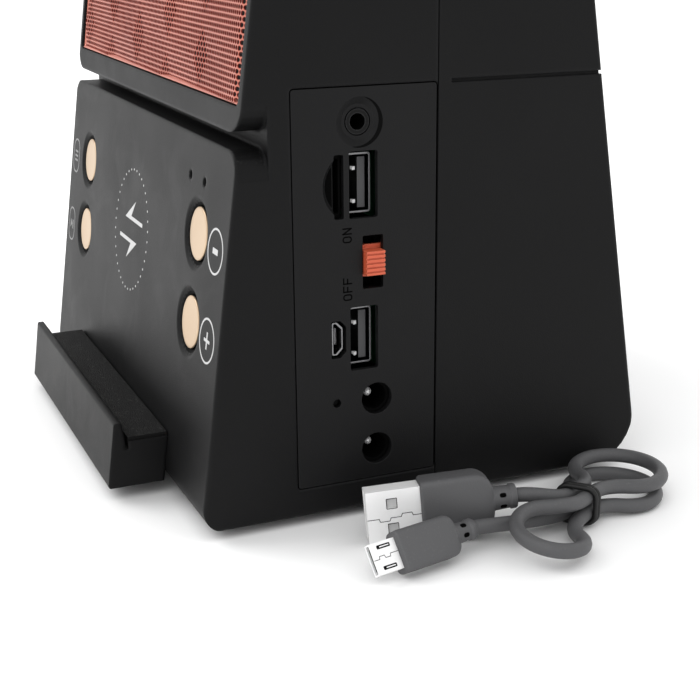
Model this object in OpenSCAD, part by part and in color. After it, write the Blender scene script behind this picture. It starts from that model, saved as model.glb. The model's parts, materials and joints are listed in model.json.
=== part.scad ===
// Flashlight radio: a tapered tower with a phone rest, side ports, a speaker, a torch and a handle.
// X runs across the front with the ports at +X, the front is at -Y, Z goes up from the floor.

/* [Body] */
// Width of the body at the floor
base_w = 152.5; // [130:0.5:180]
// Depth of the body at the floor
base_d = 116; // [104:1:140]
// Height of the body without its handle
body_h = 200; // [195:1:230]
// Lean of the front face in degrees
front_lean = 7.7; // [5:0.1:10]
// Lean of the rear face in degrees
rear_lean = 9.1; // [5:0.1:10]
// Draft of each side in degrees
side_draft = 1; // [0:0.1:3]
// Wall thickness of the shells
wall = 2.6; // [2:0.1:3.5]
// Rounding of the rear bottom edge
foot_r = 12; // [6:0.5:15]
// Rounding of the front bottom edge
front_foot_r = 5; // [3:0.5:12]
// Rounding of the top edges
top_r = 10; // [5:0.5:14]
// Rounding of the upright corners
corner_r = 1; // [0.5:0.5:5]
// Height of the shells above the floor
shell_lift = 2.2; // [1.8:0.1:4]
// Gap left at the seam between the shells
seam_gap = 0.3; // [0.1:0.1:0.6]

/* [Waist] */
// Height of the middle of the waist groove
waist_z = 88; // [84:0.5:92]
// Opening of the waist groove
waist_gap = 3.6; // [2:0.1:5]
// Depth of the waist groove
waist_depth = 6.4; // [3:0.1:8]
// Rounding of the upper block's lower corners
upper_r = 7; // [3:0.5:9]
// Rounding of the lower block's upper corners
lower_r = 6; // [3:0.5:9]
// Height of the groove round the rear shell
belt_z = 98.8; // [96:0.1:110]
// Width of the groove round the rear shell
belt_w = 0.9; // [0.4:0.1:2]
// Depth of the groove round the rear shell
belt_depth = 0.7; // [0.3:0.1:1.2]

/* [Speaker] */
// Height of the grille's lower edge
grille_z0 = 95.4; // [94:0.1:100]
// Drop of the grille's upper edge below the top
grille_drop = 50; // [48:0.5:60]
// Border between the grille and the side
grille_border = 2.9; // [2:0.1:8]
// Rounding of the grille's corners
grille_r = 1.5; // [0.5:0.5:6]
// Thickness of the grille sheet
grille_t = 1.2; // [0.6:0.1:1.6]
// Diameter of each speaker frame
speaker_d = 50; // [40:1:52]
// Distance of each speaker from the middle
speaker_x = 34; // [28:0.5:36]
// Height of the speakers above the grille's lower edge
speaker_rise = 27.3; // [27:0.1:29]

/* [Controls] */
// Diameter of the push buttons
button_d = 12.2; // [10:0.1:14]
// Distance of the button columns from the middle
button_x = 52.4; // [44:0.2:54]
// Height of the upper button row
button_z1 = 65; // [62:0.5:68]
// Height of the lower button row
button_z0 = 44.6; // [42:0.2:48]
// How far the buttons sit below the face
button_sink = 0.5; // [0:0.1:1]
// Travel of the push buttons
button_travel = 0.6; // [0.3:0.1:0.7]
// Diameter of the dish round each button
dish_d = 16.8; // [15:0.1:18]
// Depth of the dish round each button
dish_depth = 1.2; // [0.5:0.1:1.4]
// Diameter of the charging coil
coil_d = 40; // [30:1:42]
// Height of the charging coil's centre
coil_z = 54.8; // [50:0.2:60]

/* [Phone rest] */
// Width of the phone rest
rest_w = 91; // [70:1:120]
// Depth of the phone rest in front of the body
rest_d = 13.6; // [10:0.1:18]
// Height of the lip's upper edge
rest_z1 = 19.6; // [17:0.2:26]
// Height of the phone rest's underside
rest_z0 = 3.4; // [2.5:0.1:6]
// Depth of the pad below the lip's upper edge
rest_drop = 3.8; // [2.5:0.1:6]
// Thickness of the lip
lip_t = 1.8; // [1.2:0.1:3]
// Width of the slot behind the lip
lip_slot = 0.8; // [0.5:0.1:1.5]

/* [Ports] */
// Width of the port panel
panel_w = 34; // [32:0.5:38]
// Height of the port panel's lower edge
panel_z0 = 9.3; // [8:0.1:11]
// Height of the port panel's upper edge
panel_z1 = 98.6; // [97:0.1:102]
// Thickness of the port panel
panel_t = 1.5; // [1:0.1:1.8]
// Depth of the sockets behind the outer face
socket_depth = 15; // [12:0.5:17]
// Travel of the output switch each way from the middle
switch_travel = 3; // [1:0.1:3.2]
// Diameter of the round power sockets
dc_d = 7.5; // [6:0.1:8.5]
// Depth of the data sockets' rims behind the outer face
usb_recess = 2.9; // [0.5:0.1:4]
// Bore of the audio socket
aux_bore = 3.6; // [3.5:0.1:4]

/* [Torch] */
// Diameter of the torch bezel
torch_d = 34; // [26:0.5:36]
// Drop of the torch's centre below the top
torch_drop = 29; // [24:0.5:31]
// Depth of the reflector
torch_depth = 20; // [14:0.5:24]
// Diameter of the torch button
torch_button_d = 14; // [10:0.5:15]

/* [Handle] */
// Drop of the handle's pivot below the top
pivot_drop = 24; // [18:0.5:28]
// Place of the handle's pivot behind the seam
pivot_y = 8; // [6:0.5:12]
// Length of the handle's arms
arm_len = 52; // [46:1:70]
// Thickness of the handle's arms
arm_t = 5.5; // [4:0.1:8]
// Diameter of the handle's grip
grip_d = 13; // [11:0.5:18]
// Diameter of the handle's pins
pin_d = 6; // [4:0.5:8]

/* [Cable] */
// Diameter of the cable
cable_d = 3.4; // [2.6:0.1:3.5]
// Bend radius of the two loops
loop_r = 10.2; // [8:0.1:10.6]
// Straight reach of the upper loop before it opens
loop_reach = 5; // [4:0.5:7]
// Bend radius of the fold towards the plugs
fold_r = 7.4; // [6.8:0.1:7.6]

/* [Hidden] */
// Clearances
fit = 0.3;
play = 0.2;
run = 0.05;
tiny = 0.01;
$fn = 48;
far = 400;
seam = seam_gap / 2;

// Faces of the tapered body as functions of the height
function front_y(z) = -base_d / 2 + z * tan(front_lean);
function rear_y(z) = base_d / 2 - z * tan(rear_lean);
function side_x(z) = base_w / 2 - z * tan(side_draft);
function slope_up(z, from) = (z - from) / cos(front_lean);

// Rounded outlines: each corner of a polygon gets an arc of its own radius
function unit(v) = v / norm(v);
function arc_at(a, b, c, r, n) =
    let (u = unit(a - b), w = unit(c - b), half = acos(u * w) / 2)
    let (m = b + unit(u + w) * r / sin(half), s = b + u * r / tan(half), e = b + w * r / tan(half))
    let (a0 = atan2(s.y - m.y, s.x - m.x), a1 = atan2(e.y - m.y, e.x - m.x))
    let (turn = (a1 - a0 + 900) % 360 - 180)
    [for (i = [0:n]) m + r * [cos(a0 + turn * i / n), sin(a0 + turn * i / n)]];
function rounded(p, r, n = 6) =
    let (k = len(p))
    [for (i = [0:k - 1])
        each (r[i] > 0 ? arc_at(p[(i + k - 1) % k], p[i], p[(i + 1) % k], r[i], n) : [p[i]])];
function box_outline(w, h, r, n = 6) =
    rounded([[-w / 2, -h / 2], [w / 2, -h / 2], [w / 2, h / 2], [-w / 2, h / 2]], [r, r, r, r], n);

// Side and front outlines of the body, drawn in by o
function side_outline(o) =
    let (z0 = shell_lift + o, z1 = body_h - o, f = o / cos(front_lean), b = o / cos(rear_lean))
    rounded([[front_y(z0) + f, z0], [rear_y(z0) - b, z0], [rear_y(z1) - b, z1], [front_y(z1) + f, z1]],
            [front_foot_r - o, foot_r - o, top_r - o, top_r - o], 8);
function front_outline(o) =
    let (z0 = shell_lift + o, z1 = body_h - o, s = o / cos(side_draft))
    rounded([[-side_x(z0) + s, z0], [side_x(z0) - s, z0], [side_x(z1) - s, z1], [-side_x(z1) + s, z1]],
            [o > 0 ? 0 : corner_r, o > 0 ? 0 : corner_r, top_r - o, top_r - o], 6);

// Places on the faces: local Z points out of the face, local Y goes up it
module on_front(x, z) { translate([x, front_y(z), z]) rotate([90 - front_lean, 0, 0]) children(); }
module on_side(y, z) {
    translate([side_x(z), y, z]) rotate([0, -side_draft, 0]) rotate([90, 0, 90]) children();
}

// Shared values of the sub-parts
base_t = shell_lift - 0.8;
foot_z = shell_lift - base_t;
cell_d = 18.4;
cell_len = 65;
cell_pitch = cell_d + 1.4;
holder_end = 3;
holder_side = 1;
holder_size = [cell_len + 2 * holder_end, 3 * cell_pitch + 2 * holder_side, 10];
rim_t = 2;
rim_h = 2.4;
rim_room = 0.8;
base_open = [base_w - 30, holder_size.y + 2 * (rim_t + rim_room) + 1];
base_screw = [base_w / 2 - 10, base_d / 2 - 32];
screw_low = [50, 24];
screw_high = [58, 152];
screw_d = 3;
screw_head = [5.8, 2.4];
screw_cross = [4, 0.8];
screw_sink = 8;
screw_reach = 4;
screw_seats = [[-1, screw_low], [1, screw_low], [-1, screw_high], [1, screw_high]];
boss_r = 4.2;
waist_y = front_y(waist_z) + waist_depth;
board_out = 11;
board_t = 1.6;
tact_h = 3.5;
plunger_h = 1;
stem_end = board_out - tact_h - plunger_h - button_travel - play;
flange_t = 1.2;
button_edge = 0.3;
led_z = 77;
led_x = [44.8, 55.1];
led_d = 1.8;
led_sink = 1;
board_z0 = 37;
board_z1 = led_z + 3;
board_w = 114;
post_x = 31;
panel_y = -seam - fit - panel_w / 2;
panel_z = (panel_z0 + panel_z1) / 2;
panel_r = 0.6;
panel_seat = 1.8;
usb_y = -18;
usb_z1 = 77.6;
usb_z0 = 43;
usb_shell = [5.8, 13.2];
usb_hole = [6.8, 14.7];
usb_wall = 0.4;
aux_y = -18.8;
aux_z = 91.1;
aux_d = 5.5;
aux_dish = 11;
aux_recess = 1.2;
card_y = -23.8;
card_z = 77.4;
card_hole = [2.3, 14];
card_notch = 0.9;
micro_y = -24.2;
micro_z = 43.3;
micro_shell = [2.6, 7.6];
micro_recess = 0.9;
dc_y = -15;
dc_z1 = 28.3;
dc_z0 = 16.2;
dc_bore = dc_d - 1.3;
dc_tip = 5.6;
charge_y = -24.8;
charge_z = 28.4;
charge_d = 1.6;
switch_y = -15.8;
switch_z = 60.3;
knob = [4.4, 5.4];
knob_rise = 1.8;
knob_slot = [knob.x + 2 * fit, knob.y + 2 * switch_travel + 2 * fit];
knob_flange = [knob.x + 1.8, knob.y + 1.8];
grille_z1 = body_h - grille_drop;
speaker_z = grille_z0 + speaker_rise;
speaker_rim = 2;
basket_h = 10;
basket_t = 1.5;
magnet_d = speaker_d - 18;
magnet_h = 10;
cone_d = speaker_d - 8;
cone_h = 9;
cone_t = 1;
cone_sink = speaker_rim - cone_t * 0.6;
base_screw_d = 2.4;
base_screw_head = [4.8, 0.8];
base_screw_len = 7;
led_plate = [20, 2];
led_dome = 4;
torch_z = body_h - torch_drop;
pivot_z = body_h - pivot_drop;
torch_bore = torch_d - 6;
torch_button_x = 46;
cup_inner = torch_button_d + 2.4 + 4 * fit;
cup_wall = 1.5;
cup_depth = 10.4;
torch_button_y = -seam - 0.8 - cup_inner / 2 - cup_wall;
arm_x = side_x(pivot_z - 14) + fit;
arm_w = 14;
arm_boss = 8.5;
bar_z = pivot_z + arm_len;
bar_r = grip_d / 2 - 1.5;
cell_y = 0;
holder_z = shell_lift + 2.4;
cell_z = holder_z + 2 + cell_d / 2;

// Body volume, its upright corner rounding and the space inside
module body_solid(o) {
    intersection() {
        rotate([90, 0, 90]) linear_extrude(far, center = true) polygon(side_outline(o));
        rotate([90, 0, 0]) linear_extrude(far, center = true) polygon(front_outline(o));
    }
}

module corner_cut(sx, sy) {
    foot = [sx * side_x(0), sy < 0 ? front_y(0) : rear_y(0), 0];
    head = [sx * side_x(body_h), sy < 0 ? front_y(body_h) : rear_y(body_h), body_h];
    run_up = head - foot;
    tip = acos(run_up.z / norm(run_up));
    swing = atan2(run_up.y, run_up.x);
    for (a = [18, 45, 72]) {
        facing = atan2(sy * sin(a), sx * cos(a));
        translate(foot) rotate([0, tip, swing]) rotate([0, 0, facing - swing])
            translate([-corner_r * (cos(a) + sin(a) - 1), -10, -10]) cube([20, 20, norm(run_up) + 20]);
    }
}

module half_space(sy) {
    translate([-far / 2, sy < 0 ? -far - seam : seam, -far / 4]) cube(far);
}

module shell_half(sy) {
    difference() {
        intersection() {
            body_solid(0);
            half_space(sy);
        }
        body_solid(wall);
        for (sx = [-1, 1]) corner_cut(sx, sy);
        translate([-base_open.x / 2, -base_open.y / 2, 0])
            cube([base_open.x, base_open.y, shell_lift + 2 * wall]);
    }
}

module base_bosses(sy) {
    for (sx = [-1, 1])
        translate([sx * base_screw.x, sy * base_screw.y, shell_lift + wall - tiny])
            cylinder(r = 3.4, h = 4);
}

module base_boss_holes(sy) {
    for (sx = [-1, 1])
        translate([sx * base_screw.x, sy * base_screw.y, 0])
            cylinder(d = base_screw_d + play, h = foot_z + base_screw_len + 2 * play);
}

// Waist groove between the two front blocks, flaring out at both sides
function waist_outline() =
    let (z0 = waist_z - waist_gap / 2, z1 = waist_z + waist_gap / 2, x0 = side_x(z0), x1 = side_x(z1), o = 8)
    let (low = [for (i = [0:6])
        [x0 - lower_r + lower_r * sin(15 * i), z0 - lower_r + lower_r * cos(15 * i)]])
    let (high = [for (i = [6:-1:0])
        [x1 - upper_r + upper_r * sin(15 * i), z1 + upper_r - upper_r * cos(15 * i)]])
    concat(low, [[x0 + o, z0 - lower_r], [x1 + o, z1 + upper_r]], high);

module waist_cut() {
    right = waist_outline();
    left = [for (i = [len(right) - 1:-1:0]) [-right[i].x, right[i].y]];
    translate([0, waist_y, 0]) rotate([90, 0, 0]) linear_extrude(far / 4) polygon(concat(right, left));
}

module waist_back() {
    reach = waist_y + wall;
    span = [waist_gap + 2 * wall, waist_gap + lower_r + upper_r + 2 * wall];
    intersection() {
        body_solid(wall / 2);
        union() {
            translate([-far / 2, reach - far, waist_z - span[0] / 2]) cube([far, far, span[0]]);
            for (sx = [-1, 1])
                translate([sx * (side_x(waist_z) - upper_r - wall + 20) - 20, reach - far,
                           waist_z - waist_gap / 2 - lower_r - wall])
                    cube([40, far, span[1]]);
        }
    }
}

// Front shell
module grille_outline(o) {
    x0 = side_x(grille_z0) - grille_border - o;
    x1 = side_x(grille_z1) - grille_border - o;
    h = slope_up(grille_z1, grille_z0) - o;
    polygon(rounded([[-x0, o], [x0, o], [x1, h], [-x1, h]],
                    [grille_r, grille_r, grille_r, grille_r], 4));
}

module button_seats() {
    for (sx = [-1, 1], z = [button_z0, button_z1]) on_front(sx * button_x, z) children();
}

module front_posts() {
    for (sx = [-1, 1], z = [board_z0 + 3.5, board_z1 - 3.5])
        on_front(sx * post_x, z) translate([0, 0, -board_out]) cylinder(d = 6, h = board_out - wall / 2);
    for (z = [panel_z0 + 8, panel_z1 - 8], y = [panel_y - panel_w / 2 + 3.4])
        on_side(y, z) translate([0, 0, -socket_depth]) cylinder(d = 5, h = socket_depth - wall / 2);
}

module screw_columns(sy) {
    intersection() {
        body_solid(wall / 2);
        half_space(sy);
        for (s = screw_seats)
            translate([s[0] * s[1].x, 0, s[1].y]) rotate([90, 0, 0])
                cylinder(r = boss_r, h = 2 * base_d, center = true);
    }
}

module front_shell() {
    color([0.13, 0.13, 0.135])
    difference() {
        union() {
            shell_half(-1);
            intersection() {
                waist_back();
                half_space(-1);
            }
            front_posts();
            screw_columns(-1);
            base_bosses(-1);
            on_front(0, torch_z) translate([0, 0, -wall - 4]) cylinder(d = torch_d + 3, h = wall + 3);
        }
        waist_cut();
        corner_cut(-1, -1);
        corner_cut(1, -1);
        base_boss_holes(-1);
        // grille pocket and speaker openings
        on_front(0, grille_z0) translate([0, 0, -grille_t - play]) linear_extrude(20) grille_outline(0);
        for (sx = [-1, 1]) intersection() {
            on_front(sx * speaker_x, speaker_z) translate([0, 0, -20]) cylinder(d = speaker_d - 6, h = 40);
            on_front(0, grille_z0) translate([0, 0, -21]) linear_extrude(42) grille_outline(grille_border);
        }
        // buttons, their dishes and the status lights
        button_seats() translate([0, 0, -wall - 4]) cylinder(d = button_d + 2 * fit, h = 20);
        button_seats() translate([0, 0, -dish_depth])
            cylinder(d1 = button_d + 2 * fit, d2 = dish_d, h = dish_depth + tiny);
        for (x = led_x) on_front(x, led_z) translate([0, 0, -wall - 4]) cylinder(d = led_d + 2 * play, h = 20);
        // port panel pocket and the window behind it
        on_side(panel_y, panel_z) translate([0, 0, -panel_t])
            linear_extrude(20)
                polygon(box_outline(panel_w + 2 * fit, panel_z1 - panel_z0 + 2 * fit, panel_r + fit, 3));
        on_side(panel_y, panel_z) translate([1, 0, -wall - 2])
            linear_extrude(20) square([panel_w - 12, panel_z1 - panel_z0 - 2 * panel_seat], center = true);
        // torch and its button
        on_front(0, torch_z) translate([0, 0, -wall - 20]) cylinder(d = torch_d - 2 + 2 * fit, h = 40);
        translate([torch_button_x, torch_button_y, body_h - 8]) cylinder(d = torch_button_d + 2 * fit, h = 20);
        // blind holes for the case screws
        for (s = screw_seats)
            translate([s[0] * s[1].x, 0, s[1].y]) rotate([90, 0, 0]) cylinder(d = 3.4, h = 14);
    }
}

// Rear shell
module rear_shell() {
    color([0.12, 0.12, 0.125])
    difference() {
        union() {
            shell_half(1);
            screw_columns(1);
            base_bosses(1);
            for (sx = [-1, 1])
                translate([sx * (side_x(pivot_z) - wall - 5), pivot_y, pivot_z]) rotate([0, 90, 0])
                    cylinder(d = pin_d + 5, h = 2 * wall + 5, center = true);
        }
        base_boss_holes(1);
        for (sx = [-1, 1])
            translate([sx * side_x(pivot_z), pivot_y, pivot_z]) rotate([0, 90, 0])
                cylinder(d = pin_d + 2 * run, h = 40, center = true);
        for (s = screw_seats)
            translate([s[0] * s[1].x, 0, s[1].y]) rotate([-90, 0, 0]) {
                cylinder(d = 3.4, h = base_d);
                translate([0, 0, rear_y(s[1].y) - screw_sink])
                    cylinder(d = screw_head[0] + 4 * fit, h = base_d);
            }
        difference() {
            translate([-far / 2, 3.2, belt_z - belt_w / 2]) cube([far, far, belt_w]);
            body_solid(belt_depth);
        }
    }
}

// Base, feet and screws
module foot_places() {
    for (sx = [-1, 1], sy = [-1, 1])
        translate([sx * (base_w / 2 - 16), sy * (base_d / 2 - 23), 0]) children();
}

module base_plate() {
    rim = [base_open.x - 1, base_open.y - 1];
    color([0.1, 0.1, 0.1])
    difference() {
        union() {
            translate([0, 0, foot_z])
                linear_extrude(base_t) polygon(box_outline(base_w - 12, base_d - 30, 6));
            translate([0, 0, shell_lift - tiny])
                linear_extrude(rim_h) difference() {
                    square(rim, center = true);
                    square([rim.x - 2 * rim_t, rim.y - 2 * rim_t], center = true);
                }
        }
        foot_places() cylinder(d = 12.3, h = foot_z + 0.6);
        for (sx = [-1, 1], sy = [-1, 1])
            translate([sx * base_screw.x, sy * base_screw.y, 0]) {
                cylinder(d = base_screw_head[0] + 2 * play, h = foot_z + base_screw_head[1]);
                cylinder(d = base_screw_d + fit, h = 10);
            }
    }
}

module rubber_feet() {
    color([0.08, 0.08, 0.08])
    foot_places() cylinder(d = 12, h = foot_z + 0.6);
}

module case_screws() {
    color([0.6, 0.6, 0.62])
    for (s = screw_seats)
        translate([s[0] * s[1].x, rear_y(s[1].y) - screw_sink, s[1].y]) rotate([-90, 0, 0])
            difference() {
                union() {
                    cylinder(d = screw_head[0], h = screw_head[1]);
                    translate([0, 0, -rear_y(s[1].y) - screw_reach])
                        cylinder(d = screw_d, h = rear_y(s[1].y) + screw_reach + tiny);
                }
                translate([0, 0, screw_head[1] / 2]) for (a = [0, 90])
                    rotate([0, 0, a]) translate([-screw_cross[0] / 2, -screw_cross[1] / 2, 0])
                        cube([screw_cross[0], screw_cross[1], screw_head[1]]);
            }
}

module base_screws() {
    color([0.6, 0.6, 0.62])
    for (sx = [-1, 1], sy = [-1, 1])
        translate([sx * base_screw.x, sy * base_screw.y, foot_z]) {
            cylinder(d = base_screw_head[0], h = base_screw_head[1]);
            cylinder(d = base_screw_d, h = base_screw_len);
        }
}

// Port panel on the +X side
module at_socket(y, z) {
    on_side(y, z) children();
}

module slot_hole(size, r) {
    translate([0, 0, -panel_t - 1]) linear_extrude(20) polygon(box_outline(size.x, size.y, r, 3));
}

module port_panel() {
    color([0.14, 0.14, 0.145])
    difference() {
        on_side(panel_y, panel_z) translate([0, 0, -panel_t])
            linear_extrude(panel_t) polygon(box_outline(panel_w, panel_z1 - panel_z0, panel_r, 3));
        at_socket(usb_y, usb_z1) slot_hole(usb_hole, 0.5);
        at_socket(usb_y, usb_z0) slot_hole(usb_hole, 0.5);
        at_socket(card_y, card_z) slot_hole(card_hole, 0.4);
        at_socket(card_y, card_z) intersection() {
            translate([4.2, 0, -card_notch]) cylinder(r1 = 7.2, r2 = 8, h = card_notch + tiny);
            translate([-far, -far / 2, -far / 2]) cube(far);
        }
        at_socket(micro_y, micro_z) translate([0, 0, -panel_t - 1])
            linear_extrude(20) polygon(micro_outline(-0.5));
        at_socket(switch_y, switch_z) slot_hole(knob_slot, 0.4);
        at_socket(aux_y, aux_z) translate([0, 0, -aux_recess])
            cylinder(d1 = aux_d + 2, d2 = aux_dish, h = aux_recess + tiny);
        at_socket(aux_y, aux_z) translate([0, 0, -5]) cylinder(d = aux_d + 2 * fit, h = 10);
        for (z = [dc_z0, dc_z1]) at_socket(dc_y, z) translate([0, 0, -5]) cylinder(d = dc_d, h = 10);
        at_socket(charge_y, charge_z) translate([0, 0, -5]) cylinder(d = charge_d + 2 * play, h = 10);
    }
}

module side_board() {
    color([0.1, 0.3, 0.16])
    on_side(panel_y, panel_z) translate([0, 0, -socket_depth - board_t])
        linear_extrude(board_t) square([panel_w - 3, panel_z1 - panel_z0 - 4], center = true);
}

module aux_jack() {
    color([0.3, 0.3, 0.31])
    at_socket(aux_y, aux_z) difference() {
        union() {
            translate([0, 0, -panel_t - fit - tiny])
                cylinder(d = aux_d, h = panel_t + fit - aux_recess + tiny);
            translate([-4, -4, -socket_depth]) cube([8, 8, socket_depth - panel_t - fit]);
        }
        translate([0, 0, -socket_depth + 1.5]) cylinder(d = aux_bore, h = socket_depth);
    }
}

module card_socket() {
    color([0.7, 0.7, 0.72])
    at_socket(card_y, card_z) difference() {
        translate([-1.1, -7, -socket_depth]) cube([2.2, 14, socket_depth - panel_t - fit]);
        translate([-0.6, -6, -socket_depth + 1]) cube([1.2, 12, socket_depth]);
    }
}

module usb_shell_at(z) {
    at_socket(usb_y, z) translate([0, 0, -socket_depth]) difference() {
        linear_extrude(socket_depth - usb_recess) polygon(box_outline(usb_shell.x, usb_shell.y, 0.6, 3));
        translate([0, 0, 1]) linear_extrude(socket_depth)
            polygon(box_outline(usb_shell.x - 2 * usb_wall, usb_shell.y - 2 * usb_wall, 0.3, 3));
    }
}

module usb_media_shell() {
    color([0.75, 0.75, 0.77]) usb_shell_at(usb_z1);
}

module usb_charge_shell() {
    color([0.75, 0.75, 0.77]) usb_shell_at(usb_z0);
}

module usb_tongues() {
    color([0.12, 0.12, 0.13])
    for (z = [usb_z0, usb_z1])
        at_socket(usb_y, z) translate([0, -5.6, 1 - socket_depth])
            cube([1.8, 11.2, socket_depth - usb_recess - 1.6]);
}

function micro_outline(o) =
    let (x = micro_shell.x / 2 - o, y = micro_shell.y / 2 - o, c = 1.4)
    rounded([[-x, -y], [x - c, -y], [x, c - y], [x, y - c], [x - c, y], [-x, y]],
        [0.3, 0.3, 0.3, 0.3, 0.3, 0.3], 2);

module micro_usb_port() {
    color([0.78, 0.78, 0.8])
    at_socket(micro_y, micro_z) translate([0, 0, -socket_depth]) {
        difference() {
            linear_extrude(socket_depth - micro_recess) polygon(micro_outline(0));
            translate([0, 0, 7]) linear_extrude(socket_depth) polygon(micro_outline(0.3));
        }
        translate([0, -1.9, 7 - tiny]) cube([0.6, 3.8, 5]);
    }
}

module dc_jack(z) {
    color([0.09, 0.09, 0.09])
    at_socket(dc_y, z) difference() {
        translate([-4.5, -4.5, -socket_depth]) cube([9, 9, socket_depth - panel_t - fit]);
        translate([0, 0, -socket_depth + 2]) cylinder(d = dc_bore, h = socket_depth);
    }
}

module dc_jack_upper() { dc_jack(dc_z1); }

module dc_jack_lower() { dc_jack(dc_z0); }

module dc_pins() {
    color([0.85, 0.85, 0.86])
    for (z = [dc_z0, dc_z1]) at_socket(dc_y, z) translate([0, 0, -socket_depth + 2]) {
        cylinder(d = 2, h = socket_depth - 2 - dc_tip);
        translate([0, 0, socket_depth - 2 - dc_tip]) sphere(d = 2);
    }
}

module charge_led() {
    color([0.9, 0.9, 0.85])
    at_socket(charge_y, charge_z) translate([0, 0, -socket_depth])
        cylinder(d = charge_d, h = socket_depth - led_sink);
}

module switch_body() {
    color([0.2, 0.2, 0.21])
    at_socket(switch_y, switch_z) difference() {
        translate([-4, -8, -socket_depth]) cube([8, 16, socket_depth - panel_t - 3]);
        translate([-2.5, -6.5, -panel_t - 5]) cube([5, 13, 5]);
    }
}

module switch_knob() {
    color([0.86, 0.38, 0.24])
    at_socket(switch_y, switch_z) {
        difference() {
            translate([-knob.x / 2, -knob.y / 2, -panel_t - fit])
                cube([knob.x, knob.y, panel_t + fit + knob_rise]);
            for (i = [-2:2])
                translate([-knob.x, i * knob.y / 5.4 - 0.2, knob_rise - 0.4]) cube([2 * knob.x, 0.4, 1]);
        }
        translate([-knob_flange.x / 2, -knob_flange.y / 2, -panel_t - fit - 1])
            cube([knob_flange.x, knob_flange.y, 1 + tiny]);
        translate([-1.2, -1.5, -panel_t - 4]) cube([2.4, 3, 3]);
    }
}

// Front controls
module push_button(x, z) {
    color([0.93, 0.76, 0.58])
    on_front(x, z) {
        translate([0, 0, -wall - fit]) cylinder(d = button_d, h = wall + fit - button_sink - button_edge);
        translate([0, 0, -button_sink - button_edge - tiny])
            cylinder(d1 = button_d, d2 = button_d - 2 * button_edge, h = button_edge + tiny);
        translate([0, 0, -wall - fit - flange_t]) cylinder(d = button_d + 2.4, h = flange_t + tiny);
        translate([0, 0, -stem_end]) cylinder(d = 4, h = stem_end - wall);
    }
}

module mode_button() { push_button(-button_x, button_z1); }

module play_button() { push_button(-button_x, button_z0); }

module minus_button() { push_button(button_x, button_z1); }

module plus_button() { push_button(button_x, button_z0); }

module tact_switches() {
    color([0.25, 0.25, 0.26])
    button_seats() translate([0, 0, -board_out]) {
        translate([-3, -3, 0]) cube([6, 6, tact_h]);
        translate([0, 0, tact_h - tiny]) cylinder(d = 3.5, h = plunger_h + tiny);
    }
}

module control_board() {
    color([0.1, 0.3, 0.16])
    on_front(0, board_z0) translate([-board_w / 2, 0, -board_out - board_t])
        cube([board_w, slope_up(board_z1, board_z0), board_t]);
}

module status_leds() {
    color([0.9, 0.9, 0.85])
    for (x = led_x) on_front(x, led_z) translate([0, 0, -board_out])
        cylinder(d = led_d, h = board_out - led_sink);
}

module charging_coil() {
    color([0.72, 0.42, 0.24])
    on_front(0, coil_z) translate([0, 0, -wall - run - 1.2]) difference() {
        cylinder(d = coil_d, h = 1.2);
        translate([0, 0, -1]) cylinder(d = coil_d / 2, h = 4);
    }
}

module ferrite_sheet() {
    color([0.2, 0.2, 0.22])
    on_front(0, coil_z) translate([-coil_d / 2 - 2, -coil_d / 2 - 2, -wall - run - 2])
        cube([coil_d + 4, coil_d + 4, 0.8]);
}

// Phone rest
function rest_back(z) = front_y(z) - tiny;
function rest_front(z) = front_y(rest_z1) - rest_d - (rest_z1 - z) * tan(front_lean);
rest_floor = rest_z1 - rest_drop;
slot_lean = 0.6;
pad_t = 1;

module phone_rest_prism(w, p) {
    rotate([90, 0, 90]) linear_extrude(w, center = true) polygon(p);
}

module phone_ledge() {
    slot_y = rest_front(rest_z1) + lip_t;
    color([0.13, 0.13, 0.135])
    difference() {
        phone_rest_prism(rest_w, rounded([
            [rest_front(rest_z0), rest_z0], [rest_back(rest_z0), rest_z0],
            [rest_back(rest_floor - pad_t), rest_floor - pad_t], [slot_y + slot_lean, rest_floor - pad_t],
            [slot_y, rest_z1], [rest_front(rest_z1), rest_z1]],
            [0.6, 0, 0, 0, 0.5, 0.5], 3));
        translate([0, slot_y + slot_lean, 0]) phone_rest_prism(rest_w + 2, [
            [0, rest_floor - pad_t - 2], [lip_slot, rest_floor - pad_t - 2],
            [lip_slot, rest_z1], [0, rest_z1]]);
        translate([-far / 2, -base_d, -far + rest_z0]) cube([far, base_d, far]);
        body_front_clear();
    }
}

module body_front_clear() {
    translate([-far / 2, 0, 0]) rotate([90, 0, 90]) linear_extrude(far)
        polygon(side_outline(0));
}

module ledge_pad() {
    slot_y = rest_front(rest_z1) + lip_t + slot_lean + lip_slot;
    back = front_y(rest_floor - pad_t) - play;
    color([0.17, 0.17, 0.17])
    phone_rest_prism(rest_w - 0.6, [[slot_y, rest_floor - pad_t], [back, rest_floor - pad_t],
                                    [back, rest_floor], [slot_y, rest_floor]]);
}

// Sound
module speaker_grille() {
    color([0.72, 0.46, 0.37])
    on_front(0, grille_z0) translate([0, 0, -grille_t]) linear_extrude(grille_t) grille_outline(fit);
}

module speaker(sx) {
    color([0.16, 0.16, 0.17])
    on_front(sx * speaker_x, speaker_z) {
        translate([0, 0, -wall - speaker_rim]) difference() {
            cylinder(d = speaker_d, h = speaker_rim);
            translate([0, 0, -1]) cylinder(d = speaker_d - 5, h = speaker_rim + 2);
        }
        translate([0, 0, -wall - speaker_rim - basket_h]) difference() {
            cylinder(d1 = magnet_d, d2 = speaker_d - 2, h = basket_h);
            translate([0, 0, basket_t])
                cylinder(d1 = magnet_d - 2, d2 = speaker_d - 5, h = basket_h - basket_t + tiny);
        }
        translate([0, 0, -wall - speaker_rim - basket_h - magnet_h])
            cylinder(d = magnet_d, h = magnet_h + tiny);
    }
}

module speaker_left() { speaker(-1); }

module speaker_right() { speaker(1); }

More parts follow.
